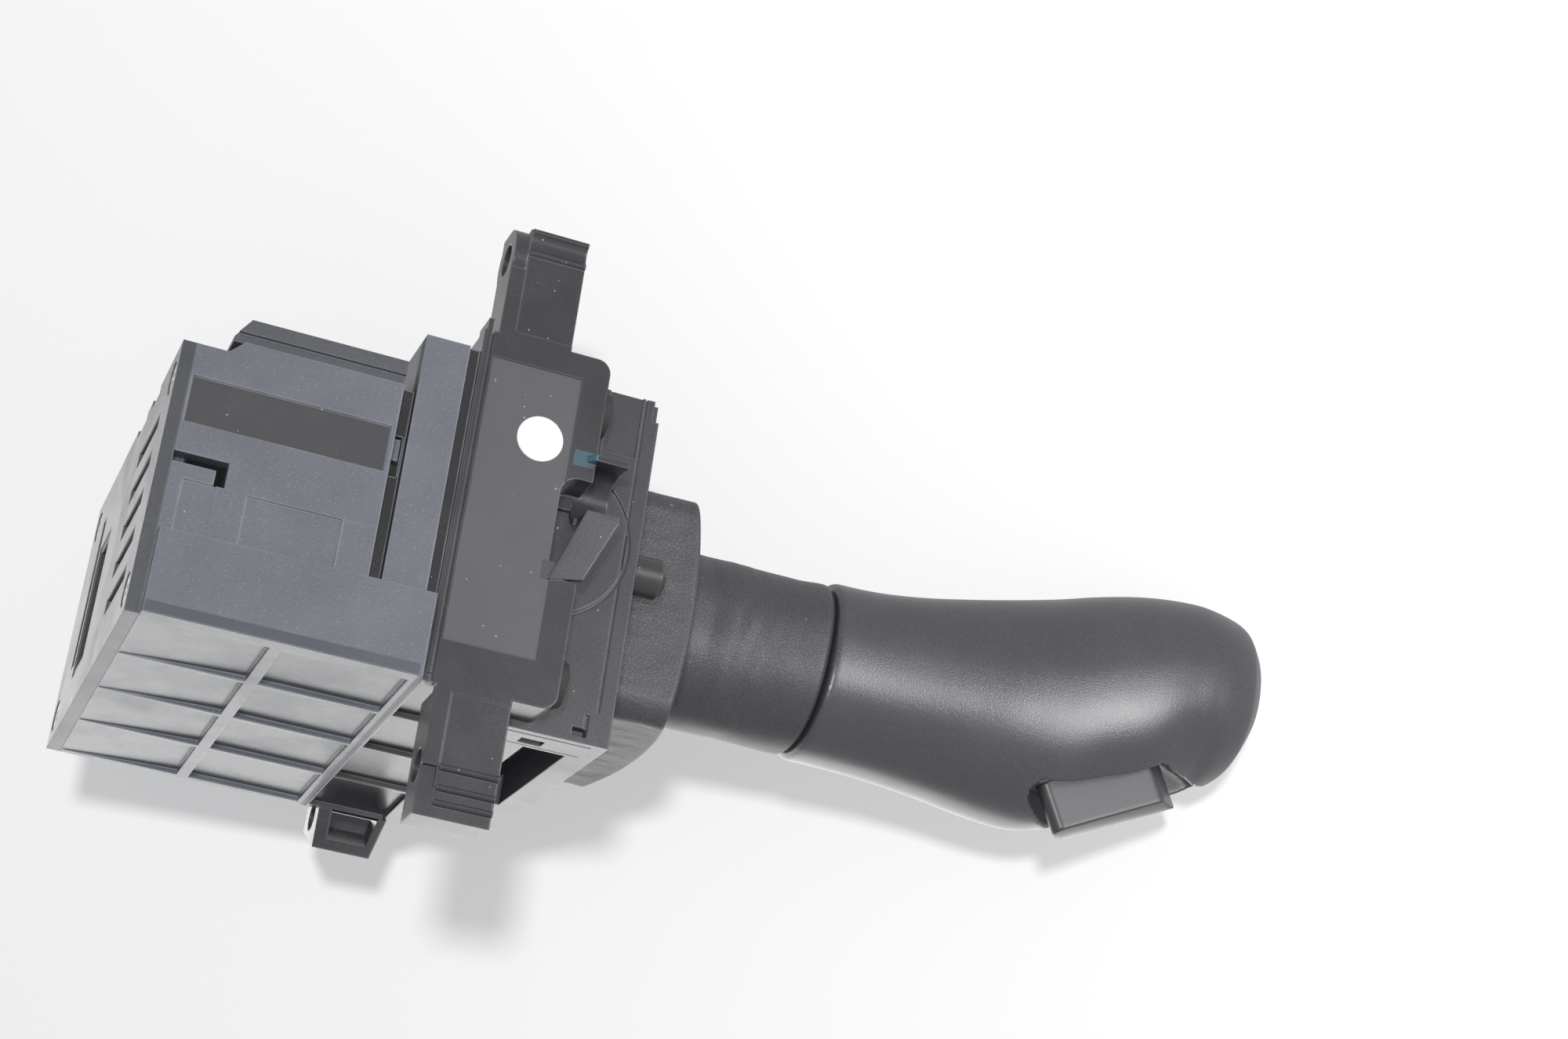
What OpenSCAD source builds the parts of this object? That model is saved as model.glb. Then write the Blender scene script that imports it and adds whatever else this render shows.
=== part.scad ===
// Electronic gear shift mechanism: sprung lever on a two-axis gimbal in a moulded housing.
// +Z is up the lever, -Y is the front of the vehicle, +X is the driver's side.

/* [Lower housing] */
// Width of the upper frame, which sets the ribbed side of the housing
frame_w = 65.8; // [60:0.2:74]
// Width of the lower housing
body_w = 51.5; // [46:0.5:54]
// Depth of both housings, front to back
body_d = 92.4; // [88:0.2:100]
// Height of the lower housing above the base cover
body_h = 48.2; // [44:0.2:54]
// Wall thickness of the lower housing
wall = 3.0; // [2.4:0.1:3.6]
// Thickness of the base cover
base_t = 2.4; // [1.8:0.1:3.4]
// Height of the spigot that centres the base cover
spigot_h = 2.2; // [1.5:0.1:3]
// Reach of the side shelf below the frame
shelf_reach = 10.3; // [8:0.1:12]
// Height of the side shelf
shelf_h = 9.9; // [8:0.1:12]
// Inward step at the foot of the housing
foot_step = 2.4; // [1.5:0.1:3]
// Height of the stepped foot
foot_h = 5.5; // [4:0.1:7]
// Width of the groove under the shelf
shelf_groove = 2.3; // [1.5:0.1:3]
// Width of the raised corner block on the front
block_w = 15.0; // [12:0.5:18]
// How far the corner block stands proud
block_proud = 1.8; // [1:0.1:2.5]
// Width of the polished band on the front
band_w = 8.5; // [6:0.5:10]
// Depth of shallow moulded relief
relief = 0.4; // [0.2:0.05:0.8]
// Depth of the pockets in the ribbed side
rib_depth = 1.0; // [0.8:0.1:1.8]
// Thickness of the ribs between the rows
rib_t = 1.3; // [1:0.1:2]
// Rows of pockets in the ribbed side
rib_rows = 4; // [3:1:5]
// Thickness of the side cover
cover_t = 4.4; // [3:0.1:5.5]

/* [Upper frame] */
// Height of the flange underside above the housing
flange_t = 1.2; // [1:0.1:2]
// Height of the front plate above the flange
plate_h = 22.4; // [20:0.2:25]
// Depth of the front plate box
plate_d = 9.6; // [8.6:0.1:10.4]
// Height of the side walls above the flange
side_h = 15.4; // [13:0.2:17]
// Wall thickness of the upper frame
frame_wall = 2.6; // [2.2:0.1:3.2]
// Distance between the front ear holes
front_pitch = 95.4; // [92:0.2:100]
// Distance between the rear ear holes
rear_pitch = 69.6; // [66:0.2:72]
// Sideways offset of the ear hole pairs
ear_shift = -1.5; // [-2:0.1:0]
// Diameter of the ear holes
ear_hole_d = 5.9; // [5:0.1:6.6]
// Thickness of the ear plates
ear_t = 2.6; // [2:0.1:3.4]
// Height of the ear plates above the flange
ear_lift = 1.3; // [0:0.1:2]
// Height of the box behind each ear plate
ear_box_h = 10.8; // [9:0.2:13]
// Depth of the front ears
ear_d = 9.6; // [9:0.1:10.4]
// Wall thickness of the ear boxes
ear_wall = 1.6; // [1.2:0.1:2]
// Width of the notch for the harness clip
notch_w = 19; // [17:0.5:21]
// Inner radius of the harness clip
clip_r = 4.7; // [4:0.1:5.2]
// Wall thickness of the harness clip
clip_t = 1.2; // [1:0.1:1.6]

/* [Bezel frame and boot] */
// How far the bezel frame overhangs the upper frame on each side
bezel_over = 0.3; // [0:0.1:1]
// Sideways offset of the bezel frame
bezel_x = 1.0; // [0:0.1:1.2]
// How much narrower each side is at the back
bezel_taper = 2.8; // [2:0.1:4]
// Height of the bezel frame's top face above the base
bezel_top = 87; // [85.5:0.1:89]
// Wall thickness of the bezel frame
bezel_wall = 2.6; // [2.2:0.1:3.2]
// Radius of the bearing boss on the bezel front
boss_r = 14.8; // [12:0.2:16]
// Diameter of the locating stub
stub_d = 7.4; // [6:0.1:8]
// Height of the locating stub above the bezel
stub_h = 6.8; // [5:0.1:8]
// Width of the boot collar
collar_w = 44.8; // [44:0.2:46]
// Depth of the boot collar
collar_d = 54.0; // [53:0.2:57]
// Height of the boot collar at its crown
collar_h = 18.2; // [15:0.2:20]
// Wall thickness of the boot collar
collar_wall = 1.9; // [1.5:0.1:2.2]

/* [Gimbal] */
// Lever axis from the middle of the frame, across
lever_x = -2.0; // [-3:0.1:-1]
// Height of both pivot axes above the base
pivot_z = 70; // [69:0.1:71]
// Diameter of the trunnions
trunnion_d = 8; // [6:0.5:9]
// Diameter of the cross pin
cross_d = 6; // [5:0.5:7]
// Height of the gimbal ring
ring_h = 11; // [9:0.5:13]
// Thickness of the gimbal ring walls
ring_t = 5; // [4:0.5:6]
// Radial running clearance of the pivots
run_gap = 0.05; // [0.02:0.01:0.09]
// Seat clearance between neighbouring pieces
seat_gap = 0.3; // [0.2:0.05:0.4]
// Width of the lever hub between the ring walls
hub_w = 25; // [22:0.5:27]
// Depth of the lever hub
hub_d = 18; // [16:0.5:20]

/* [Detent and sensing] */
// Radius of the detent bowl about the pivot
detent_r = 34; // [32:0.5:36]
// Radius of the plunger tip
tip_r = 2.2; // [1.8:0.1:2.4]
// Length of the detent plunger
plunger_l = 15; // [13:0.5:16]
// Outer diameter of the detent tube
tube_d = 7.4; // [7:0.1:8]
// Depth of the detent notches
notch_depth = 0.6; // [0.4:0.1:0.9]
// Width of the detent block
detent_w = 20; // [16:0.5:22]
// Depth of the detent block
detent_d = 24; // [20:0.5:28]
// Angle between detent notches
detent_step = 6; // [5:0.5:6.5]
// Thickness of the circuit board
board_t = 1.6; // [1:0.1:2]
// Depth of the circuit board, front to back
board_d = 62; // [54:1:70]
// Length of the magnet
magnet_l = 8; // [6:0.5:10]

/* [Knob] */
// Diameter of the lever shaft
shaft_d = 12; // [10:0.5:13]
// Height of the seam between neck and knob
seam_z = 133; // [131:0.2:135]
// Height of the knob's crown above the base
knob_top = 227.9; // [225:0.1:232]
// Gap at the seam between neck and knob
seam_gap = 0.4; // [0.2:0.1:0.8]
// Length of the unlock button
unlock_l = 26.6; // [22:0.2:28]
// Width of the unlock button
unlock_w = 18; // [15:0.5:20]
// Depth of the pocket below the knob's side
pocket_depth = 9.4; // [8:0.2:11]
// Sideways offset of the pocket
pocket_y = -1.0; // [-2:0.2:1]
// Gap between the unlock button and the sides of its pocket
pocket_side = 2.8; // [2:0.1:3.2]
// Slant of the unlock button's two ends, as a share of its width
unlock_slant = 0.7; // [0.5:0.05:0.8]
// Slant of the unlock button to the lever
pocket_tilt = 63.5; // [60:0.5:72]
// Travel of the unlock button
unlock_travel = 2.0; // [1:0.1:2.5]
// Length of the park button
park_l = 15; // [12:0.5:16]
// Width of the park button
park_w = 11; // [9:0.5:12]
// Travel of the park button
park_travel = 1.5; // [1:0.1:2]

/* [Hidden] */
$fn = 48;
eps = 0.01;
lever_y = 0;

// Edges of the housings
front = -body_d / 2;
back = body_d / 2;
right = frame_w / 2;
left = right - body_w;
body_top = base_t + body_h;
shelf_z = body_top - shelf_h;
shelf_left = left - shelf_reach;
flange_top = body_top + flange_t;
plate_top = flange_top + plate_h;
side_top = flange_top + side_h;
rib_bar = 2.2;
block_left = right - block_w;

// Bezel frame
bezel_w = frame_w + 2 * bezel_over;
bezel_front = front + plate_d + seat_gap;
bezel_back = back - 7;
bezel_foot = flange_top + frame_wall + seat_gap;
spigot_in = frame_wall + seat_gap + bezel_over;
stub_edge = 2.7;
stub_room = 1.6;
stub_y = bezel_front + stub_edge + stub_d / 2;
collar_front = stub_y + stub_d / 2 + stub_room;
bush_t = 1.5;
boss_proud = 0.8;
collar_x = 0.8;
collar_y = collar_front + collar_d / 2;
collar_r = 5;

// Pivots
trunnion_r = trunnion_d / 2;
cross_r = cross_d / 2;
hub_gap = 0.35;
ring_in_x = hub_w / 2 + hub_gap;
ring_in_y = hub_d / 2 + 4;
bush_r = trunnion_r + run_gap + bush_t;
bush_skin = 1.6;
bush_in = spigot_in + bezel_wall + 3;
slide_t = 1.5;
slide_room = 1.17;
slide_r = norm([lever_y - collar_front - collar_wall, bezel_top - 3 - pivot_z]) - slide_room;

// Detent
bowl_gap = 0.3;
tip_z = pivot_z - detent_r + bowl_gap;
bowl_r = detent_r;
plunger_r = tip_r;
tube_top = pivot_z - 6;
tube_foot = tip_z + 3.2;
spring_foot = tip_z + plunger_l;
board_x = left + wall + 1;
board_room = 1;
board_side = board_x + board_t + board_room;
board_foot = base_t + 8;
board_h = body_top - board_foot - 1.5;
board_screw_r = 1.25;
sensor_t = 1.0;
magnet_z = pivot_z - 22;
magnet_t = 1.6;

function lerp(a, b, t) = a + (b - a) * t;
function smooth(t) = t * t * (3 - 2 * t);

// A plate with rounded corners, centred in plan
module round_plate(w, d, h, r) {
    linear_extrude(h) {
        square([w - 2 * r, d], center = true);
        square([w, d - 2 * r], center = true);
        for (sx = [-1, 1], sy = [-1, 1])
            translate([sx * (w / 2 - r), sy * (d / 2 - r)])
                circle(r);
    }
}

// A box given by its low and high corners
module span(a, b) {
    translate(a)
        cube([b[0] - a[0], b[1] - a[1], b[2] - a[2]]);
}

// An outline in the X-Z plane, pushed from y0 to y1
module xz_prism(points, y0, y1) {
    translate([0, y1, 0])
        rotate([90, 0, 0])
            linear_extrude(y1 - y0)
                polygon(points);
}

// An outline in the X-Y plane, pushed from z0 to z1
module xy_prism(points, z0, z1) {
    translate([0, 0, z0])
        linear_extrude(z1 - z0)
            polygon(points);
}

// A cylinder along Y from y0 to y1
module y_rod(x, z, r, y0, y1) {
    translate([x, y1, z])
        rotate([90, 0, 0])
            cylinder(r = r, h = y1 - y0);
}

// A cylinder along X from x0 to x1
module x_rod(y, z, r, x0, x1) {
    translate([x0, y, z])
        rotate([0, 90, 0])
            cylinder(r = r, h = x1 - x0);
}

// Screw places that fasten the base cover and the frame
screw_in = 5.2;
screw_xy = [for (x = [left + foot_step + screw_in, right - screw_in], y = [front + screw_in, back - screw_in])
    [x, y]];
frame_rim = 13;
frame_xy = [[left - 5, front + plate_d + 7], [left + foot_step + screw_in, back - screw_in],
    [right - screw_in, front + plate_d + 7], [right - screw_in, back - screw_in]];
screw_r = 1.5;
screw_head_r = 2.9;
screw_l = 10;
screw_head_h = 1.6;

// Outline of the lower housing in the X-Z plane, moved inwards by t
function body_outline(t) = [
    [left + foot_step + t, base_t],
    [right - t, base_t],
    [right - t, body_top],
    [shelf_left + t, body_top],
    [shelf_left + t, shelf_z + t],
    [left + t, shelf_z + t],
    [left + t, base_t + foot_h + foot_step],
    [left + foot_step + t, base_t + foot_h]];

// One pocket of the ribbed side, with a floor that may rise towards one end
module rib_pocket(y0, y1, z0, z1, d0, d1) {
    translate([0, y1, 0])
        rotate([90, 0, 0])
            linear_extrude(y1 - y0)
                polygon([[right + 1, z0], [right - d0, z0], [right - d1, z1], [right + 1, z1]]);
}

module rib_pockets(z0, z1, d0, d1) {
    pitch = (body_d - 2 * rib_t) / rib_rows;
    for (i = [0 : rib_rows - 1])
        rib_pocket(front + rib_t * 1.5 + i * pitch, front + rib_t * 0.5 + (i + 1) * pitch, z0, z1, d0, d1);
}

module lower_housing() color("#4b4b50") {
    cell = 0.4;
    band_left = left + 8.2;
    slot_left = band_left + band_w + 5.5;
    slot_w = 1.9;
    pad_left = slot_left + 4.6;
    difference() {
        union() {
            xz_prism(body_outline(0), front, back);
            // Raised corner block
            span([block_left, front - block_proud, base_t + 0.2], [right, front + 1, body_top - 0.4]);
        }
        // Cavity
        difference() {
            xz_prism([for (p = body_outline(wall)) [p[0], p[1] + (p[1] == body_top ? 1 : 0) - (p[1] == base_t ? 1 : 0)]],
                front + wall, back - wall);
            // Screw posts in the corners
            for (p = screw_xy)
                translate([p[0], p[1], base_t])
                    cylinder(r = screw_in, h = body_h);
            for (p = frame_xy)
                translate([p[0], p[1], shelf_z])
                    cylinder(r = 3.6, h = body_h);
            // Board standoffs
            for (y = [-1, 1], z = [board_foot + 5, body_top - 12])
                x_rod(y * (board_d / 2 - 5), z, 3, left, board_x);
            // Shelf ribs
            for (y = [front + body_d / 4, back - body_d / 4])
                span([shelf_left, y - 1, shelf_z], [left + wall, y + 1, body_top]);
        }
        // Screw holes from below and from above
        for (p = screw_xy) {
            translate([p[0], p[1], base_t - 1])
                cylinder(r = screw_r, h = screw_l + 3);
        }
        for (p = frame_xy)
            translate([p[0], p[1], body_top - 8.4])
                cylinder(r = screw_r, h = screw_l);
        // Holes of the board screws
        for (y = [-1, 1], z = [board_foot + 5, body_top - 12])
            x_rod(y * (board_d / 2 - 5), z, board_screw_r, board_x - 2, board_x + 1);
        // Groove under the shelf and groove under the frame
        span([shelf_left - 1, front - 1, shelf_z - shelf_groove], [block_left, front + 2.4, shelf_z]);
        span([shelf_left - 1, front - 1, body_top - 2], [block_left, front + 1.2, body_top + 1]);
        // Polished band
        span([band_left, front - 1, base_t + 0.4], [band_left + band_w, front + relief, shelf_z - shelf_groove - 0.8]);
        // L-shaped slot
        span([slot_left, front - 1, base_t - 1], [slot_left + slot_w, front + wall + 1, base_t + 9.4]);
        span([slot_left, front - 1, base_t + 9.4 - slot_w], [slot_left + 4.6, front + wall + 1, base_t + 9.4]);
        // Shallow pads
        span([pad_left, front - 1, base_t + 2.4], [block_left - 0.1, front + relief, base_t + 8]);
        span([pad_left + 0.3, front - 1, base_t + 13.4], [block_left - 0.1, front + relief, base_t + 29.8]);
        span([pad_left + 0.3, front - 1, base_t + 30.1], [block_left - 0.1, front + relief / 2, shelf_z - shelf_groove - 1]);
        // Latch window in the shelf groove
        span([band_left + 0.6, front - 1, shelf_z - shelf_groove + 0.3], [band_left + band_w - 0.4, front + wall + 1, shelf_z - 0.5]);
        // Ribbed side, two columns of pockets
        rib_pockets(base_t + cell, base_t + 22.4, 0.1, rib_depth);
        rib_pockets(base_t + 22.4 + rib_bar, body_top - 2, rib_depth, rib_depth);
        // Side ribs on the foot
        for (y = [front + 8 : 9 : back - 8])
            span([left - 1, y, base_t - 1], [left + foot_step + 1.2, y + 1.6, base_t + foot_h - 1]);
    }
    // Bridge that carries the detent block
    bridge();
}

bridge_t = 6;
bridge_z = pivot_z - detent_r - 12;

// Cross wall inside the housing under the detent block
module bridge() {
    difference() {
        union() {
            span([left + wall - eps, lever_y - detent_d / 2 - 6, bridge_z - bridge_t],
                [right - wall + eps, lever_y - detent_d / 2 - 2, bridge_z]);
            span([left + wall - eps, lever_y + detent_d / 2 + 2, bridge_z - bridge_t],
                [right - wall + eps, lever_y + detent_d / 2 + 6, bridge_z]);
        }
        span([left, front, bridge_z - bridge_t - 1], [board_side, back, bridge_z + 1]);
    }
}

module side_cover() color("#47474c") {
    z0 = base_t + foot_h + 2.8;
    z1 = shelf_z - shelf_groove;
    x0 = left - cover_t;
    joint_w = 1.8;
    difference() {
        xz_prism([[x0, z0], [x0, z1], [left, z1], [left, z0 - 2.4], [left - 1, z0 - 2.4]], front + 0.1, back - 4);
        // Shadow groove along the joint
        span([left - joint_w, front - 1, z0 - 3], [left + 1, front + 0.8, z1 + 1]);
        // Hollow back
        span([x0 + 1.8, front + 3, z0 + 1], [left + 1, back - 7, z1 - 1.8]);
        // Long relief panels on the outside
        for (i = [0 : 2])
            span([x0 - 1, front + 8 + i * 27, z0 + 4], [x0 + 0.5, front + 30 + i * 27, z1 - 4]);
    }
}

conn_x = 12;
conn_y = 18;
conn_w = 26;
conn_d = 13;
conn_h = 13;
conn_wall = 1.4;
pin_cols = 7;
pin_pitch = 3;
pin_w = 0.64;

module base_cover() color("#3d3d42") {
    x0 = left + foot_step;
    difference() {
        union() {
            span([x0, front, 0], [right, back, base_t]);
            // Spigot that centres the cover in the housing
            difference() {
                span([x0 + wall + seat_gap, front + wall + seat_gap, base_t - eps],
                    [right - wall - seat_gap, back - wall - seat_gap, base_t + spigot_h]);
                span([x0 + wall + 2.2, front + wall + 2.2, base_t - 1],
                    [right - wall - 2.2, back - wall - 2.2, base_t + spigot_h + 1]);
                for (p = screw_xy)
                    translate([p[0], p[1], base_t - 1])
                        cylinder(r = screw_in + seat_gap, h = spigot_h + 2);
            }
        }
        for (p = screw_xy) {
            translate([p[0], p[1], -1])
                cylinder(r = screw_r + 0.15, h = base_t + 2);
            translate([p[0], p[1], -1])
                cylinder(r = screw_head_r + 0.2, h = screw_head_h + 1 - 0.2);
        }
        // Connector opening
        span([conn_x - conn_w / 2 - 0.1, conn_y - conn_d / 2 - 0.1, -1],
            [conn_x + conn_w / 2 + 0.1, conn_y + conn_d / 2 + 0.1, base_t + 1]);
        // Underside slots and stepped reliefs
        for (i = [0 : 4])
            span([x0 + 9 + i * 7, front + 12, -1], [x0 + 12 + i * 7, front + 34, 1]);
        span([x0 - 1, front + 22, -1], [x0 + 1.6, front + 30, 1.2]);
        span([x0 - 1, front + 36, -1], [x0 + 1.6, front + 46, 1.2]);
        span([x0 + 8, back - 20, -1], [x0 + 38, back - 16, 1]);
    }
}

module connector_socket() color("#1c1c1f") {
    difference() {
        union() {
            span([conn_x - conn_w / 2, conn_y - conn_d / 2, 0.2], [conn_x + conn_w / 2, conn_y + conn_d / 2, conn_h]);
            // Flange that seats on the inside of the base cover
            span([conn_x - conn_w / 2 - 2, conn_y - conn_d / 2 - 2, base_t + 0.05],
                [conn_x + conn_w / 2 + 2, conn_y + conn_d / 2 + 2, base_t + 1.6]);
        }
        span([conn_x - conn_w / 2 + conn_wall, conn_y - conn_d / 2 + conn_wall, -1],
            [conn_x + conn_w / 2 - conn_wall, conn_y + conn_d / 2 - conn_wall, conn_h - 2.4]);
        // Keying slots
        for (s = [-1, 1])
            span([conn_x + s * 7 - 1, conn_y - conn_d / 2 - 1, -1], [conn_x + s * 7 + 1, conn_y - conn_d / 2 + conn_wall + 1, 1.9]);
        connector_pin_set(pin_w + 0.02);
    }
}

module connector_pin_set(w) {
    for (i = [0 : pin_cols - 1], j = [-1, 1])
        translate([conn_x + (i - (pin_cols - 1) / 2) * pin_pitch - w / 2, conn_y + j * 2 - w / 2, 5.2])
            cube([w, w, conn_h - 5.2 + 2]);
}

module connector_pins() color("#d8c07a")
    connector_pin_set(pin_w);

module circuit_board() color("#1f5a38") {
    difference() {
        span([board_x, -board_d / 2, board_foot], [board_x + board_t, board_d / 2, board_foot + board_h]);
        for (y = [-1, 1], z = [board_foot + 5, body_top - 12])
            x_rod(y * (board_d / 2 - 5), z, board_screw_r + 0.1, board_x - 1, board_x + board_t + 1);
        // Corner relief
        span([board_x - 1, board_d / 2 - 8, board_foot + board_h - 5], [board_x + board_t + 1, board_d / 2 + 1, board_foot + board_h + 1]);
    }
}

module hall_sensors() color("#17171a") {
    x0 = board_x + board_t;
    for (y = [-9, 0, 9])
        span([x0, lever_y + y - 2.5, magnet_z - 2], [x0 + sensor_t, lever_y + y + 2.5, magnet_z + 1]);
    span([x0, -26, board_foot + 10], [x0 + 1.4, -20, board_foot + 20]);
    span([x0, 20, board_foot + 10], [x0 + 2.2, 25, board_foot + 18]);
}

module board_screws() color("#9a9a9e") {
    x0 = board_x + board_t;
    for (y = [-1, 1], z = [board_foot + 5, body_top - 12]) {
        x_rod(y * (board_d / 2 - 5), z, board_screw_r, board_x - 1.6, x0);
        difference() {
            x_rod(y * (board_d / 2 - 5), z, 2.4, x0, x0 + 1.5);
            x_rod(y * (board_d / 2 - 5), z, 0.9, x0 + 0.7, x0 + 2);
        }
    }
}

module housing_screws() color("#8c8c90") {
    for (p = screw_xy)
        translate([p[0], p[1], 0.2]) {
            difference() {
                cylinder(r = screw_head_r, h = screw_head_h - 0.4);
                translate([0, 0, -0.1])
                    cylinder(r = 1.2, h = 0.9);
            }
            translate([0, 0, 1])
                cylinder(r = screw_r - 0.1, h = screw_l);
        }
}

// Detent block: a bowl about the pivot with shallow notches
module detent_block() color("#c9c6b8") {
    z0 = bridge_z;
    x0 = max(lever_x - detent_w / 2, board_side + seat_gap);
    x1 = lever_x + detent_w / 2;
    difference() {
        union() {
            span([x0, lever_y - detent_d / 2, z0 + 1], [x1, lever_y + detent_d / 2, pivot_z - detent_r + 3]);
            // Feet on the bridge rails
            span([x0, lever_y - detent_d / 2 - 6, z0], [x1, lever_y + detent_d / 2 + 6, z0 + 3]);
        }
        translate([lever_x, lever_y, pivot_z])
            sphere(r = bowl_r, $fn = 96);
        for (a = [-2 : 2])
            detent_notch(a * detent_step, 0);
        detent_notch(0, 7);
        for (y = [-1, 1])
            translate([lever_x, lever_y + y * (detent_d / 2 + 4), z0 - 1])
                cylinder(r = 1.2, h = 5);
    }
}

module detent_notch(fore, side) {
    translate([lever_x, lever_y, pivot_z])
        rotate([fore, side, 0])
            translate([0, 0, -bowl_r - notch_depth + tip_r])
                sphere(r = tip_r, $fn = 24);
}

// Front plate outline in the X-Z plane, with rounded top corners and the clip notch
module front_plate_body() {
    r = 2.6;
    x0 = -right;
    difference() {
        union() {
            span([x0, front, flange_top + 0.5], [right, front + plate_d, plate_top - r]);
            span([x0 + r, front, plate_top - r - 1], [right - r, front + plate_d, plate_top]);
            for (s = [-1, 1])
                y_rod(s * (right - r), plate_top - r, r, front, front + plate_d);
            span([x0 + 0.4, front + 0.5, flange_top - eps], [right - 0.4, front + plate_d, flange_top + 1]);
        }
        // Notch for the harness clip
        notch_cut();
        // Polished recessed panel
        span([x0 + 4.7, front - 1, flange_top + 1.1], [right - 8, front + relief, flange_top + 17.6]);
        // Hollow back with ribs left between
        for (c = [[x0 + 3, notch_x - notch_w / 2 - 4], [notch_x + notch_w / 2 + 4, right - 3]])
            span([c[0], front + 3, flange_top + 3], [c[1], front + plate_d + 1, plate_top - 10]);
    }
}

notch_x = 0;
notch_floor = plate_top - 5.4;

module notch_cut() {
    r = 3;
    span([notch_x - notch_w / 2 + r, front - 1, notch_floor], [notch_x + notch_w / 2 - r, front + plate_d + 1, plate_top + 1]);
    span([notch_x - notch_w / 2, front - 1, notch_floor + r], [notch_x + notch_w / 2, front + plate_d + 1, plate_top + 1]);
    for (s = [-1, 1])
        y_rod(notch_x + s * (notch_w / 2 - r), notch_floor + r, r, front - 1, front + plate_d + 1);
}

// Harness clip: a curved finger and a slanted flap that hold a cable between them
clip_x = -8.7;
clip_reach = 2.6;
clip_lift = 4.2;
clip_w = 6.6;
flap_x = -3.5;

module harness_clip() {
    z0 = notch_floor + clip_lift;
    z1 = z0 + clip_w;
    out_r = clip_r + clip_t;
    cy = front + plate_d - out_r;
    tip_y = front - clip_reach;
    notch_right = notch_x + notch_w / 2;
    translate([clip_x, cy, z0])
        difference() {
            cylinder(r = out_r, h = clip_w);
            translate([0, 0, -1])
                cylinder(r = clip_r, h = clip_w + 2);
            // Mouth towards the front
            translate([-clip_r - 0.01, -2 * out_r, -1])
                cube([2 * clip_r + 0.02, 2 * out_r, clip_w + 2]);
            translate([0, -2 * out_r, -1])
                cube([2 * out_r, 2 * out_r + 1.2, clip_w + 2]);
        }
    // Curved finger's flat tongue, with a slanted lower end
    intersection() {
        xy_prism([[clip_x - out_r, cy + 0.01], [clip_x - clip_r, cy + 0.01],
            [clip_x - clip_r + 0.7, tip_y], [clip_x - out_r + 0.7, tip_y]], z0 - 3, z1 + 0.01);
        translate([clip_x - out_r - 1, 0, 0])
            rotate([90, 0, 90])
                linear_extrude(out_r)
                    polygon([[tip_y - 1, z0 + 0.8], [cy + 1, z0 - 2.2], [cy + 1, z1 + 1], [tip_y - 1, z1 + 1]]);
    }
    // Slanted flap that comes back towards its root
    intersection() {
        xz_prism([[flap_x, z0 + 0.5], [flap_x + 0.7, z1 + 0.1], [notch_right - 0.7, z0 + 2.1],
            [notch_right + 0.4, notch_floor + 0.2]], tip_y - 1, front + plate_d);
        xy_prism([[flap_x - 1, tip_y + 0.3], [notch_right + 1, front - 0.2],
            [notch_right + 1, front - 0.2 + clip_t], [flap_x - 1, tip_y + 0.3 + clip_t]], notch_floor - 1, z1 + 2);
    }
    // Root of the flap on the plate
    span([notch_right - 3, front + 0.2, notch_floor - 1], [notch_right + 0.4, front + 2.4, z0 - 1]);
    // Web from the flap to the curved finger
    xy_prism([[flap_x, tip_y + 0.5], [flap_x + clip_t, tip_y + 0.7],
        [clip_x + out_r, cy + 1.3], [clip_x + clip_r, cy + 1.3]], z0 + 0.6, z1 - 0.2);
    // Web that carries the curved finger
    span([clip_x - 2, cy + clip_r, notch_floor - 1], [clip_x + 2, front + plate_d, z1 - 2]);
}

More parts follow.
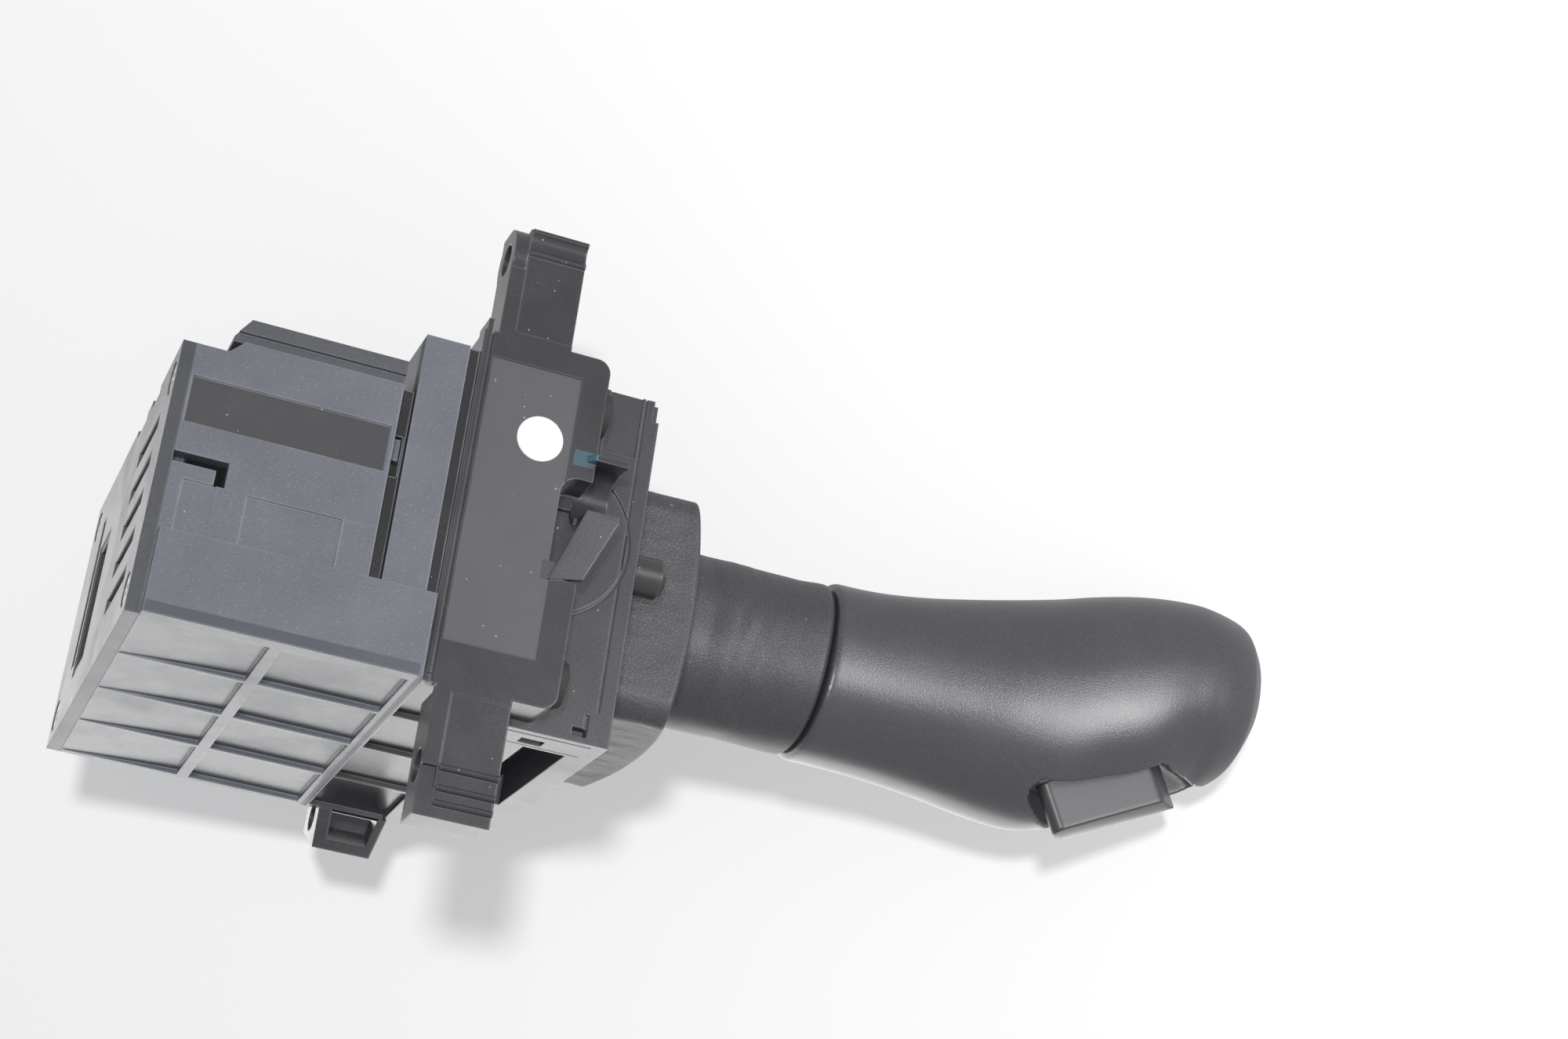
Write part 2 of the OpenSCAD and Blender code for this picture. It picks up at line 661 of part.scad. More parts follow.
// A front ear: plate with a round end and a hollow box behind it
module front_ear(s) {
    hx = ear_shift + s * front_pitch / 2;
    tip = s < 0 ? hx - ear_r : hx + 9.2;
    x_in = s * (right - 1);
    hy = front + plate_d / 2;
    lo = min(tip, x_in);
    hi = max(tip, x_in);
    z0 = flange_top + ear_lift;
    z1 = z0 + ear_t;
    z2 = z1 + ear_box_h;
    lips = s < 0 ? [1, 5.2] : [2.6, 5.1, 8.5];
    difference() {
        union() {
            if (s < 0) {
                span([hx, front, z0], [hi, front + ear_d, z1]);
                translate([hx, hy, z0])
                    cylinder(r = ear_r, h = ear_t);
                span([hx - ear_r, hy, z0], [hx, front + ear_d, z1]);
            } else {
                span([lo, front + ear_step * len(lips), z0], [hi, front + ear_d, z1]);
                span([lo, front, z0], [tip - lips[2], front + ear_d, z1]);
            }
            // Box walls
            span([lo + (s < 0 ? 0.7 : 0), front, z1 - eps], [hi, front + ear_wall + (s < 0 ? 0 : 1.2), z2]);
            span([s < 0 ? lo + 0.7 : hi - ear_wall, front, z1 - eps], [s < 0 ? lo + 0.7 + ear_wall : hi, front + ear_d, z2]);
            span([lo + (s < 0 ? 0.7 : 0), front, z2 - ear_wall], [hi, front + ear_d, z2]);
        }
        translate([hx, hy, z0 - 1])
            cylinder(r = ear_hole_d / 2, h = ear_t + 2);
        // Tool access behind the plate
        translate([hx, hy + 1.6, z1])
            cylinder(r = ear_hole_d / 2 + 0.6, h = ear_box_h - ear_wall - 0.4);
        // Smooth pad between the lips and the frame
        span([min(s * (right + 1), tip - s * (max(lips) + 0.5)), front - 1, z1 + 0.3],
            [max(s * (right + 1), tip - s * (max(lips) + 0.5)), front + 0.25, z2 + 1]);
        if (s < 0)
            // Shallow hollow between the two lips
            translate([tip + (lips[0] + lips[1]) / 2, front - 2.1, z1 + 0.3])
                cylinder(r = 2.7, h = z2);
        else
            // Front face steps back towards the tip
            for (i = [0 : len(lips) - 1])
                span([tip - lips[i], front - 1, z1 - 0.1], [hi + 1, front + ear_step * (len(lips) - i), z2 + 1]);
    }
    // Rounded lips, running up the box
    for (i = [0 : len(lips) - 1])
        translate([tip - s * lips[i], front + lip_r - 0.35 + (s < 0 ? 0 : ear_step * (len(lips) - 1 - i)), z1 + 0.4])
            cylinder(r = lip_r, h = z2 - z1 - 0.4);
}

lip_r = 0.6;
ear_step = 0.45;

ear_r = 5.7;
rear_ear_y = back - 1.4;
rear_ear_d = 12.8;
rear_tip = 7.7;
rear_slant = 6;
rear_fall = 2.8;

// Plan of a rear ear with its slanted end, moved inwards by t and forwards by f
function rear_plan(s, hx, t, f) = [
    [s * (right - frame_wall), rear_ear_y - f],
    [hx + s * (rear_tip - t), rear_ear_y - f],
    [hx + s * (rear_tip - rear_slant - t), rear_ear_y + rear_ear_d - t],
    [s * (right - frame_wall), rear_ear_y + rear_ear_d - t]];

// Elevation of a rear ear with its falling top, between z0 and the top less t
function rear_face(s, hx, z0, z2, t) = [
    [s * (right - frame_wall), z0],
    [hx + s * rear_tip, z0],
    [hx + s * rear_tip, z2 - rear_fall - t],
    [s * (right - frame_wall), z2 - t]];

// A rear ear: hollow box open to the front
module rear_ear(s) {
    hx = ear_shift + s * rear_pitch / 2;
    hy = rear_ear_y + rear_ear_d / 2;
    z0 = flange_top + ear_lift;
    z1 = z0 + ear_t;
    z2 = side_top;
    difference() {
        intersection() {
            xy_prism(rear_plan(s, hx, 0, 0), z0, z2);
            xz_prism(rear_face(s, hx, z0, z2, 0), rear_ear_y - 1, rear_ear_y + rear_ear_d + 1);
        }
        difference() {
            intersection() {
                xy_prism(rear_plan(s, hx, ear_wall, 1), z1, z2);
                xz_prism(rear_face(s, hx, z1, z2, ear_wall), rear_ear_y - 2, rear_ear_y + rear_ear_d + 1);
            }
            // Keeps the rear wall of the frame whole
            span([-right, rear_ear_y - 2, z0], [right, back, z2]);
        }
        translate([hx, hy, z0 - 1])
            cylinder(r = ear_hole_d / 2, h = ear_t + 2);
    }
}

module upper_frame() color("#3a3a3d") {
    difference() {
        union() {
            // Flange with a lip that stands proud on the front
            span([-right, front, body_top], [right, back, flange_top]);
            span([-right - 2, front - 0.5, body_top + 0.3], [right - 1.4, front + 6, flange_top]);
            // Side and rear walls
            span([-right, front + plate_d - 1, flange_top - eps], [-right + frame_wall, back, side_top]);
            span([right - frame_wall, front + plate_d - 1, flange_top - eps], [right, back, side_top]);
            span([-right, back - frame_wall, flange_top - eps], [right, back, side_top]);
            front_plate_body();
            // Seat ribs under the bezel frame
            for (s = [-1, 1])
                span([s > 0 ? right - 6 : -right, front + plate_d - 1, flange_top - eps],
                    [s > 0 ? right : -right + 6, back - 1, flange_top + frame_wall]);
            for (s = [-1, 1]) {
                front_ear(s);
                rear_ear(s);
            }
        }
        // Main opening through the flange
        span([-right + frame_rim, front + plate_d + 2, body_top - 1], [right - 8, back - 8, flange_top + 6]);
        // Ribbed side, third column of pockets
        rib_pockets(body_top + 0.4, side_top - 1.6, rib_depth, rib_depth);
        // Screw holes
        for (p = frame_xy) {
            translate([p[0], p[1], body_top - 1])
                cylinder(r = screw_r + 0.15, h = 30);
            translate([p[0], p[1], flange_top])
                cylinder(r = screw_head_r + 0.4, h = 20);
        }
    }
    harness_clip();
}

module frame_screws() color("#8c8c90") {
    for (p = frame_xy)
        translate([p[0], p[1], flange_top]) {
            difference() {
                cylinder(r = screw_head_r, h = 2);
                translate([0, 0, 1])
                    cylinder(r = 1.2, h = 2);
            }
            translate([0, 0, -8.4])
                cylinder(r = screw_r - 0.1, h = 8.5);
        }
}

buffer_d = 9.2;
buffer_x = [-24.4, 26.6];

module rubber_buffers() color("#1a1a1c") {
    for (x = buffer_x)
        translate([x, front + plate_d / 2, plate_top])
            cylinder(r1 = buffer_d / 2, r2 = buffer_d / 2 - 0.6, h = 1.6);
}

module inspection_dot() color("white")
    y_rod(-15.2, flange_top + 11.8, 4.2, front + relief - 0.2, front + relief);

// Plan outline of the bezel frame about its own middle x, moved inwards by t
function bezel_outline(x, t) = [
    [x - bezel_w / 2 + t, bezel_front + t],
    [x + bezel_w / 2 - t, bezel_front + t],
    [x + bezel_w / 2 - bezel_taper - t, bezel_back - t],
    [x - bezel_w / 2 + bezel_taper + t, bezel_back - t]];

window_front = 10.8;
window_back = 55.2;
window_low = 7.2;
window_top = 4.8;
slot_front = 5.1;
slot_back = 8.3;
slot_low = 5.4;
slot_tall = 4.3;
boss_in = 3;

// A cut through one side of the bezel frame, between two depths behind its front
module side_cut(s, y0, y1, z0, z1, depth) {
    edge = bezel_x + s * bezel_w / 2;
    span([min(edge - s * depth, edge + s), bezel_front + y0, z0], [max(edge - s * depth, edge + s), bezel_front + y1, z1]);
}

module bezel_frame() color("#38383b") {
    in_w = collar_w - 2 * collar_wall;
    in_d = collar_d - 2 * collar_wall;
    wall_in = spigot_in + bezel_wall;
    right_edge = bezel_x + bezel_w / 2;
    left_edge = bezel_x - bezel_w / 2;
    difference() {
        union() {
            xy_prism(bezel_outline(bezel_x, 0), side_top + 0.2, bezel_top);
            xy_prism(bezel_outline(0, spigot_in), bezel_foot, side_top + 1);
            // Bearing boss on the front
            y_rod(lever_x, pivot_z, boss_r, bezel_front - boss_proud + 0.6, bezel_front + 1);
            // Latch tab on the front corner
            span([left_edge + 6, bezel_front - 0.2, side_top + 1], [left_edge + 16, bezel_front + 1, side_top + 10]);
        }
        // Hollow inside
        difference() {
            union() {
                xy_prism(bezel_outline(0, wall_in), bezel_foot - 1, side_top + 2);
                xy_prism(bezel_outline(bezel_x, wall_in), side_top + 1, bezel_top - 3);
            }
            // Inner bearing bosses
            y_rod(lever_x, pivot_z, bush_r + 2.4, bezel_front, bezel_front + wall_in + boss_in);
            y_rod(lever_x, pivot_z, bush_r + 2.4, bezel_back - wall_in - boss_in, bezel_back);
        }
        // Bush seats
        y_rod(lever_x, pivot_z, bush_r, bezel_front + bush_skin, bezel_front + 12);
        y_rod(lever_x, pivot_z, bush_r, bezel_back - 12, bezel_back - bush_skin);
        // Opening for the lever
        translate([collar_x, collar_y, bezel_top - 4])
            round_plate(in_w, in_d, 6, collar_r - collar_wall);
        // Ring groove round the boss
        difference() {
            y_rod(lever_x, pivot_z, boss_r + 0.6, bezel_front - 1, bezel_front + 0.5);
            y_rod(lever_x, pivot_z, boss_r, bezel_front - 2, bezel_front + 2);
        }
        // Windows, slots and joint lines in both sides
        for (s = [-1, 1]) {
            side_cut(s, window_front, window_back, side_top + window_low, bezel_top - window_top, 12);
            side_cut(s, slot_front, slot_back, side_top + slot_low, side_top + slot_low + slot_tall, 3);
            side_cut(s, slot_front - 3.1, slot_front - 2.7, side_top - 1, bezel_top - 2.6, 0.4);
            side_cut(s, window_front - 1.4, window_front - 1.0, side_top - 1, bezel_top - 2.6, 0.4);
        }
        // Small square hole at the front corner
        span([right_edge - 2.6, bezel_front - 1, bezel_top - 7], [right_edge - 1, bezel_front + 2.4, bezel_top - 4.4]);
        span([right_edge - 5.2, bezel_front - 1, bezel_top - 5], [right_edge - 1.2, bezel_front + 0.6, bezel_top - 4.3]);
        // Step along the front top edge
        span([left_edge - 1, bezel_front - 1, bezel_top - 1.2], [left_edge + 4, bezel_front + 2, bezel_top + 1]);
        // Relief panel beside the boss
        span([left_edge - 1, bezel_front - 1, side_top + 10.1], [left_edge + 11.9, bezel_front + 0.5, bezel_top - 3.5]);
        // Thin line under the top edge
        span([left_edge - 1, bezel_front - 1, bezel_top - 3], [right_edge - 6, bezel_front + 0.4, bezel_top - 2.6]);
        // Seat of the locating stub
        translate([lever_x + 1, stub_y, bezel_top - 2])
            cylinder(r = stub_d / 2 - 1.2, h = 4);
    }
}

module locating_stub() color("#2c2c2f") {
    translate([lever_x + 1, stub_y, bezel_top]) {
        cylinder(r = stub_d / 2, h = stub_h - 1);
        translate([0, 0, stub_h - 1])
            cylinder(r1 = stub_d / 2, r2 = stub_d / 2 - 1, h = 1);
        translate([0, 0, -1.8])
            cylinder(r = stub_d / 2 - 1.25, h = 1.9);
    }
}

module boot_collar() color("#34343a") {
    crown_r = 115;
    translate([collar_x, collar_y, bezel_top])
        difference() {
            round_plate(collar_w, collar_d, collar_h, collar_r);
            translate([0, 0, -1])
                round_plate(collar_w - 2 * collar_wall, collar_d - 2 * collar_wall, collar_h + 2, collar_r - collar_wall);
            // Rim crowned both ways
            difference() {
                span([-collar_w, -collar_d, collar_h - 10], [collar_w, collar_d, collar_h + 4]);
                translate([0, lever_y - collar_y, collar_h - crown_r])
                    sphere(r = crown_r, $fn = 180);
            }
        }
}

module pivot_bushes() color("#e2ddcf") {
    difference() {
        union() {
            y_rod(lever_x, pivot_z, bush_r - 0.02, bezel_front + bush_skin + 0.05, bezel_front + bush_in);
            y_rod(lever_x, pivot_z, bush_r - 0.02, bezel_back - bush_in, bezel_back - bush_skin - 0.05);
        }
        y_rod(lever_x, pivot_z, trunnion_r + run_gap, front, back);
    }
}

// Gimbal ring with its two trunnions
module gimbal_ring() color("#8d9096") {
    ox = ring_in_x + ring_t;
    oy = ring_in_y + ring_t;
    y_near = bezel_front + bush_skin + 0.6;
    y_far = bezel_back - bush_skin - 0.6;
    shoulder_near = bezel_front + bush_in + seat_gap;
    shoulder_far = bezel_back - bush_in - seat_gap;
    difference() {
        union() {
            translate([lever_x, lever_y, pivot_z - ring_h / 2])
                round_plate(2 * ox, 2 * oy, ring_h, 4);
            y_rod(lever_x, pivot_z, trunnion_r, y_near, lever_y - oy + 1);
            y_rod(lever_x, pivot_z, trunnion_r, lever_y + oy - 1, y_far);
            y_rod(lever_x, pivot_z, trunnion_r + 1.6, shoulder_near, lever_y - oy + 1);
            y_rod(lever_x, pivot_z, trunnion_r + 1.6, lever_y + oy - 1, shoulder_far);
        }
        translate([lever_x, lever_y, pivot_z - ring_h / 2 - 1])
            round_plate(2 * ring_in_x, 2 * ring_in_y, ring_h + 2, 2);
        x_rod(lever_y, pivot_z, cross_r, lever_x - ox - 1, lever_x + ox + 1);
    }
}

module cross_pin() color("#b9bcc2") {
    ox = ring_in_x + ring_t;
    difference() {
        x_rod(lever_y, pivot_z, cross_r, lever_x - ox - 0.8, lever_x + ox + 0.8);
        for (s = [-1, 1])
            x_rod(lever_y, pivot_z, 1, lever_x + s * (ox + 0.8) - 0.8, lever_x + s * (ox + 0.8) + 0.8);
    }
}

socket_r = shaft_d / 2 + 2.4;
socket_top = pivot_z + slide_r - slide_t - 2;

// Carrier: hub on the cross pin, detent tube below, shaft socket above
module lever_carrier() color("#2b2b2e") {
    difference() {
        union() {
            x_rod(lever_y, pivot_z, hub_d / 2 - 1, lever_x - hub_w / 2, lever_x + hub_w / 2);
            translate([lever_x, lever_y, pivot_z])
                cylinder(r = socket_r, h = socket_top - pivot_z);
            translate([lever_x, lever_y, tube_foot])
                cylinder(r = tube_d / 2, h = pivot_z - tube_foot - 2);
            // Stiffening fins on the tube
            span([lever_x - 1, lever_y - hub_d / 2 + 2, pivot_z - 14], [lever_x + 1, lever_y + hub_d / 2 - 2, pivot_z - 3]);
        }
        x_rod(lever_y, pivot_z, cross_r + run_gap, lever_x - hub_w, lever_x + hub_w);
        // Bore for the plunger and its spring
        translate([lever_x, lever_y, tube_foot - 1])
            cylinder(r = plunger_r + run_gap, h = pivot_z - cross_r - 3 - tube_foot + 1);
        // Socket for the shaft
        translate([lever_x, lever_y, pivot_z + cross_r + 2])
            cylinder(r = shaft_d / 2, h = 40);
    }
}

module magnet_holder() color("#d9d4c4") {
    x0 = lever_x - tube_d / 2 - magnet_t - 0.9;
    difference() {
        span([x0, lever_y - magnet_l / 2 - 1.5, magnet_z - 4.5], [lever_x + tube_d / 2 - 1, lever_y + magnet_l / 2 + 1.5, magnet_z + 4.5]);
        translate([lever_x, lever_y, magnet_z - 6])
            cylinder(r = tube_d / 2, h = 12);
        span([lever_x + 1, lever_y - magnet_l, magnet_z - 6], [lever_x + tube_d, lever_y + magnet_l, magnet_z + 6]);
        span([x0 - 1, lever_y - magnet_l / 2, magnet_z - 3], [x0 + magnet_t, lever_y + magnet_l / 2, magnet_z + 3]);
    }
}

module magnet() color("#6c6e72") {
    x0 = lever_x - tube_d / 2 - magnet_t - 0.9;
    span([x0, lever_y - magnet_l / 2, magnet_z - 3], [x0 + magnet_t, lever_y + magnet_l / 2, magnet_z + 3]);
}

shaft_foot = pivot_z + cross_r + 2;

module lever_shaft() color("#a7aaaf") {
    difference() {
        translate([lever_x, lever_y, shaft_foot])
            cylinder(r = shaft_d / 2, h = shaft_top - shaft_foot);
        translate([lever_x, lever_y, shaft_foot + 6])
            cylinder(r = shaft_d / 2 - 1.8, h = shaft_top);
        // Snap groove for the knob clip
        difference() {
            translate([lever_x, lever_y, seam_z + 12])
                cylinder(r = shaft_d, h = 2);
            translate([lever_x, lever_y, seam_z + 11])
                cylinder(r = shaft_d / 2 - 0.9, h = 4);
        }
    }
}

// Curved slide that closes the boot opening under the neck
module dust_slide() color("#242427") {
    half = 16;
    difference() {
        x_rod(lever_y, pivot_z, slide_r, lever_x - half, lever_x + half, $fn = 96);
        x_rod(lever_y, pivot_z, slide_r - slide_t, lever_x - half - 1, lever_x + half + 1, $fn = 96);
        span([lever_x - half - 1, lever_y - slide_r - 1, pivot_z - slide_r - 1],
            [lever_x + half + 1, lever_y + slide_r + 1, pivot_z + 13.6]);
        translate([lever_x, lever_y, pivot_z])
            cylinder(r = shaft_d / 2 + 0.05, h = 60);
    }
    // Collar that grips the shaft
    difference() {
        translate([lever_x, lever_y, socket_top])
            cylinder(r = socket_r, h = pivot_z + slide_r - slide_t - socket_top + 0.6);
        translate([lever_x, lever_y, socket_top - 1])
            cylinder(r = shaft_d / 2 + 0.05, h = 10);
    }
}

// A closed skin through rings of points, capped at both ends
module skin(rings) {
    n = len(rings[0]);
    m = len(rings);
    polyhedron(
        points = [for (r = rings) each r],
        faces = concat(
            [[for (j = [0 : n - 1]) j]],
            [for (i = [0 : m - 2], j = [0 : n - 1], k = [0, 1])
                k == 0 ? [i * n + j, (i + 1) * n + j, (i + 1) * n + (j + 1) % n]
                    : [i * n + j, (i + 1) * n + (j + 1) % n, i * n + (j + 1) % n]],
            [[for (j = [n - 1 : -1 : 0]) (m - 1) * n + j]]),
        convexity = 6);
}

function sgn_pow(v, p) = sign(v) * pow(abs(v), p);

// Ring of a superellipse: centre x and y, half widths a and b, exponent e, slope of the ring's plane
function ring(z, cx, a, cy, b, e, slope, n) = [for (i = [0 : n - 1])
    let (t = -360 * i / n, x = a * sgn_pow(cos(t), 2 / e), y = b * sgn_pow(sin(t), 2 / e))
    [lever_x + cx + x, lever_y + cy + y, z - slope * x]];

// Smooth curve through hand-set stations, each [height, value ...]
function station(list, z, k, i = 0) =
    i >= len(list) - 2 || z <= list[i + 1][0]
        ? catmull(list[max(i - 1, 0)][k], list[i][k], list[i + 1][k], list[min(i + 2, len(list) - 1)][k],
            min(max((z - list[i][0]) / (list[i + 1][0] - list[i][0]), 0), 1))
        : station(list, z, k, i + 1);
function catmull(a, b, c, d, t) =
    b + 0.5 * t * (c - a + t * (2 * a - 5 * b + 4 * c - d + t * (3 * (b - c) + d - a)));

skin_n = 40;

// Knob stations: height above the seam, centre x, half width x, centre y, half depth y
knob_h = knob_top - seam_z;
knob_ref = 96.4;
function knob_z(h) = seam_z + h * knob_h / knob_ref;
knob_stations = [
    [0, 0.0, 17.6, 0.0, 15.6],
    [10, -0.1, 17.8, 0.0, 15.8],
    [20, -0.5, 18.7, 0.1, 16.4],
    [30, -1.0, 20.2, 0.3, 17.4],
    [40, -1.6, 22.0, 0.6, 18.6],
    [50, -2.9, 23.4, 1.0, 19.6],
    [60, -6.0, 23.4, 1.6, 20.4],
    [70, -9.2, 22.6, 2.2, 20.8],
    [80, -12.9, 20.1, 2.8, 20.2],
    [86, -13.9, 18.8, 3.2, 19.2],
    [91.5, -15.0, 16.4, 3.5, 17.0],
    [95, -16.0, 11.4, 3.6, 12.8],
    [96.4, -16.6, 5.6, 3.6, 6.8]];
knob_levels = [for (h = [0 : 5 : 80]) h, 83, 86, 89, 91.5, 93.5, 95, 96.4];

module knob_form(inset) {
    skin([for (h = knob_levels)
        let (z = knob_z(h), s = max(0, 0.06 * (1 - h / 30)))
        ring(z + (h == 0 ? seam_gap / 2 : 0) - inset * (h > 91 ? 1 : 0), station(knob_stations, h, 1),
            max(station(knob_stations, h, 2) - inset, 2), station(knob_stations, h, 3),
            max(station(knob_stations, h, 4) - inset, 2), 2.25, s, skin_n)]);
}

// Places the children in the slanted frame of the unlock pocket: +Z points out of the knob
module at_pocket() {
    translate([lever_x + pocket_x, lever_y + pocket_y, knob_z(pocket_h)])
        rotate([0, pocket_tilt, 0])
            children();
}

pocket_x = 15.3;
pocket_h = 68.6;
shaft_head = 27;
shaft_top = knob_z(pocket_h) - shaft_head;
pocket_floor = -pocket_depth;
pocket_w = unlock_w + 2 * pocket_side;
pocket_end = unlock_l / 2 + 2.2;
pocket_head = unlock_l / 2 + 6.5;
pocket_corner = 3;
ramp_turn = atan(unlock_slant);
ramp_foot = unlock_l / 2 * cos(ramp_turn) + 0.8;

// Corners of a slanted outline: low end, its slant, high end, its slant, width, corner radius
function slanted_corners(low, k, high, m, w, r) = [for (c = [[-1, 0], [1, 0], [1, 1], [-1, 1]])
    let (y = c[0] * (w / 2 - r))
    [c[1] == 0 ? low - k * y - r * sqrt(1 + k * k) : -high - m * y + r * sqrt(1 + m * m), y]];

// Outline through corner circles, given counter-clockwise
module rounded(c, r) {
    n = len(c);
    polygon([for (i = [0 : n - 1])
        each let (a = c[i], b = c[(i + 1) % n], d = (b - a) / norm(b - a), m = [d[1], -d[0]])
        [a + r * m, b + r * m]]);
    for (p = c)
        translate(p)
            circle(r);
}

// Plan outline of the pocket, slanted at both ends, moved inwards by t
module pocket_outline(t) {
    rounded(slanted_corners(pocket_end - t, unlock_slant, pocket_head - t, 1, pocket_w - 2 * t, pocket_corner), pocket_corner);
}

// Plan outline of the unlock button, moved outwards by g
module unlock_outline(g) {
    rounded(slanted_corners(unlock_l / 2 + g, unlock_slant, unlock_l / 2 + g, unlock_slant, unlock_w + 2 * g, button_corner),
        button_corner);
}
liner_t = 1.4;
unlock_seat = pocket_floor - liner_t - unlock_travel - 0.8;
well_floor = unlock_seat - 4.4;
knob_board_t = 1.6;

module knob_shell() color("#35353a") {
    difference() {
        knob_form(0);
        // Shaft bore
        translate([lever_x, lever_y, seam_z - 1])
            cylinder(r = shaft_d / 2 + 0.05, h = shaft_top - seam_z + 1.4);
        // Clip slot
        translate([lever_x, lever_y, seam_z + 12])
            cylinder(r = shaft_d / 2 + 2.6, h = 2);
        // Unlock pocket
        at_pocket()
            difference() {
                translate([0, 0, pocket_floor - liner_t])
                    linear_extrude(40)
                        pocket_outline(0);
                // Ramp that rises from the floor to the upper end
                rotate([0, 0, ramp_turn])
                    xz_prism([[-ramp_foot, pocket_floor - liner_t - 1], [-ramp_foot, pocket_floor],
                        [-ramp_foot - 10, pocket_floor + 14], [-ramp_foot - 20, pocket_floor + 14],
                        [-ramp_foot - 20, pocket_floor - liner_t - 1]], -2 * pocket_w, 2 * pocket_w);
            }
        // Well for the button's foot and switch board
        at_pocket()
            translate([0, 0, well_floor])
                linear_extrude(pocket_floor - well_floor)
                    unlock_outline(1);
        // Park button bore and display recess
        park_space(seat_gap, 0, 9.4);
        translate([lever_x + park_x, lever_y + park_y, knob_top - 12])
            cylinder(r = 3, h = 6);
        display_cut();
    }
}

module knob_clip() color("#c7c9cc") {
    translate([lever_x, lever_y, seam_z + 12.2])
        difference() {
            cylinder(r = shaft_d / 2 + 2.2, h = 1.6);
            translate([0, 0, -1])
                cylinder(r = shaft_d / 2 - 0.7, h = 4);
            translate([0, -2.5, -1])
                cube([shaft_d, 5, 4]);
        }
}

module pocket_liner() color("#2a2a2d") {
    g = seat_gap;
    at_pocket()
        difference() {
            translate([0, 0, pocket_floor - liner_t])
                linear_extrude(liner_t)
                    pocket_outline(g);
            rotate([0, 0, ramp_turn])
                span([-ramp_foot - 20, -2 * pocket_w, pocket_floor - 5], [-ramp_foot + g, 2 * pocket_w, 5]);
            translate([0, 0, pocket_floor - 5])
                linear_extrude(10)
                    unlock_outline(g);
        }
}

button_crown = 60;
crown_lift = 0.8;
crown_steps = 12;

// Section across the crowned press face, closed at depth z0
module crown_profile(half, z0) {
    polygon(concat([[-half, z0], [half, z0]],
        [for (i = [crown_steps : -1 : -crown_steps])
            let (y = half * i / crown_steps)
            [y, crown_lift - button_crown + sqrt(button_crown * button_crown - y * y)]]));
}
button_corner = 2;

module unlock_button() color("#303034") {
    at_pocket()
        difference() {
            intersection() {
                translate([0, 0, unlock_seat + 0.4])
                    linear_extrude(2 - unlock_seat)
                        unlock_outline(0);
                // Crowned press face
                translate([-unlock_l, 0, 0])
                    rotate([90, 0, 90])
                        linear_extrude(2 * unlock_l)
                            crown_profile(unlock_w * 0.75, unlock_seat - 1);
            }
            // Hollow foot over the switch
            translate([0, 0, unlock_seat])
                cylinder(r = 3.2, h = 4);
        }
}

// Rubber dome switch under the button
module unlock_switch() color("#4a4a50") {
    at_pocket()
        translate([0, 0, well_floor + knob_board_t]) {
            cylinder(r = 2.6, h = 1);
            cylinder(r1 = 2.2, r2 = 1.5, h = 3.8);
        }
}

// A closed coil spring drawn as a stack of turns joined by a post-free helix
module coil(r, wire, h, turns) {
    steps = 14;
    n = turns * steps;
    skin([for (i = [0 : n])
        let (a = 360 * i / steps, z = lerp(wire, h - wire, i / n))
        [for (k = [0 : 4])
            let (b = -72 * k)
            [(r + wire * cos(b)) * cos(a), (r + wire * cos(b)) * sin(a), z + wire * sin(b)]]]);
}

module knob_board() color("#1f5a38") {
    at_pocket()
        translate([0, 0, well_floor])
            linear_extrude(knob_board_t)
                unlock_outline(0);
}

park_x = -16.6;
park_y = 3.6;
park_crown = 42;

module park_space(g, z0, depth) {
    translate([lever_x + park_x, lever_y + park_y, knob_top - depth + z0])
        round_plate(park_w + 2 * g, park_l + 2 * g, depth + 6, 3 + g);
}

module park_button() color("#303034") {
    difference() {
        intersection() {
            translate([lever_x + park_x, lever_y + park_y, knob_top - 6.4])
                round_plate(park_w, park_l, 8, 3);
            // Crown that follows the knob's top
            translate([lever_x + park_x, lever_y + park_y, knob_top + 0.2 - park_crown])
                sphere(r = park_crown, $fn = 96);
        }
        translate([lever_x + park_x, lever_y + park_y, knob_top - 7])
            cylinder(r = 2.4, h = 3.4);
    }
}

module park_spring() color("#c4c6ca") {
    translate([lever_x + park_x, lever_y + park_y, knob_top - 9.2])
        coil(1.7, 0.3, 5.4, 4);
}

display_w = 16;
display_l = 22;

// Places the children at the display on the rear of the crown
module at_display() {
    translate([lever_x - 10, lever_y + 17.5, knob_z(78)])
        rotate([-64, 0, 0])
            children();
}

module display_cut() {
    at_display()
        round_plate(display_w, display_l, 20, 3);
}

module display_lens() color("#0e0e10") {
    intersection() {
        at_display()
            translate([0, 0, 0.05])
                round_plate(display_w - 0.2, display_l - 0.2, 20, 3);
        knob_form(0.3);
    }
}

// Neck stations: height below the seam, centre x, half width x, centre y, half depth y
neck_foot = 98;
neck_stations = [
    [0, 0.2, 15.6, 0, 13.2],
    [4, 0.2, 16.6, 0, 14.2],
    [12, 0.1, 17.1, 0, 14.6],
    [22, 0.1, 17.0, 0, 14.7],
    [29, 0.2, 16.9, 0, 15.0],
    [33, 0.1, 17.1, 0, 15.2],
    [35, 0.1, 17.1, 0, 15.2]];

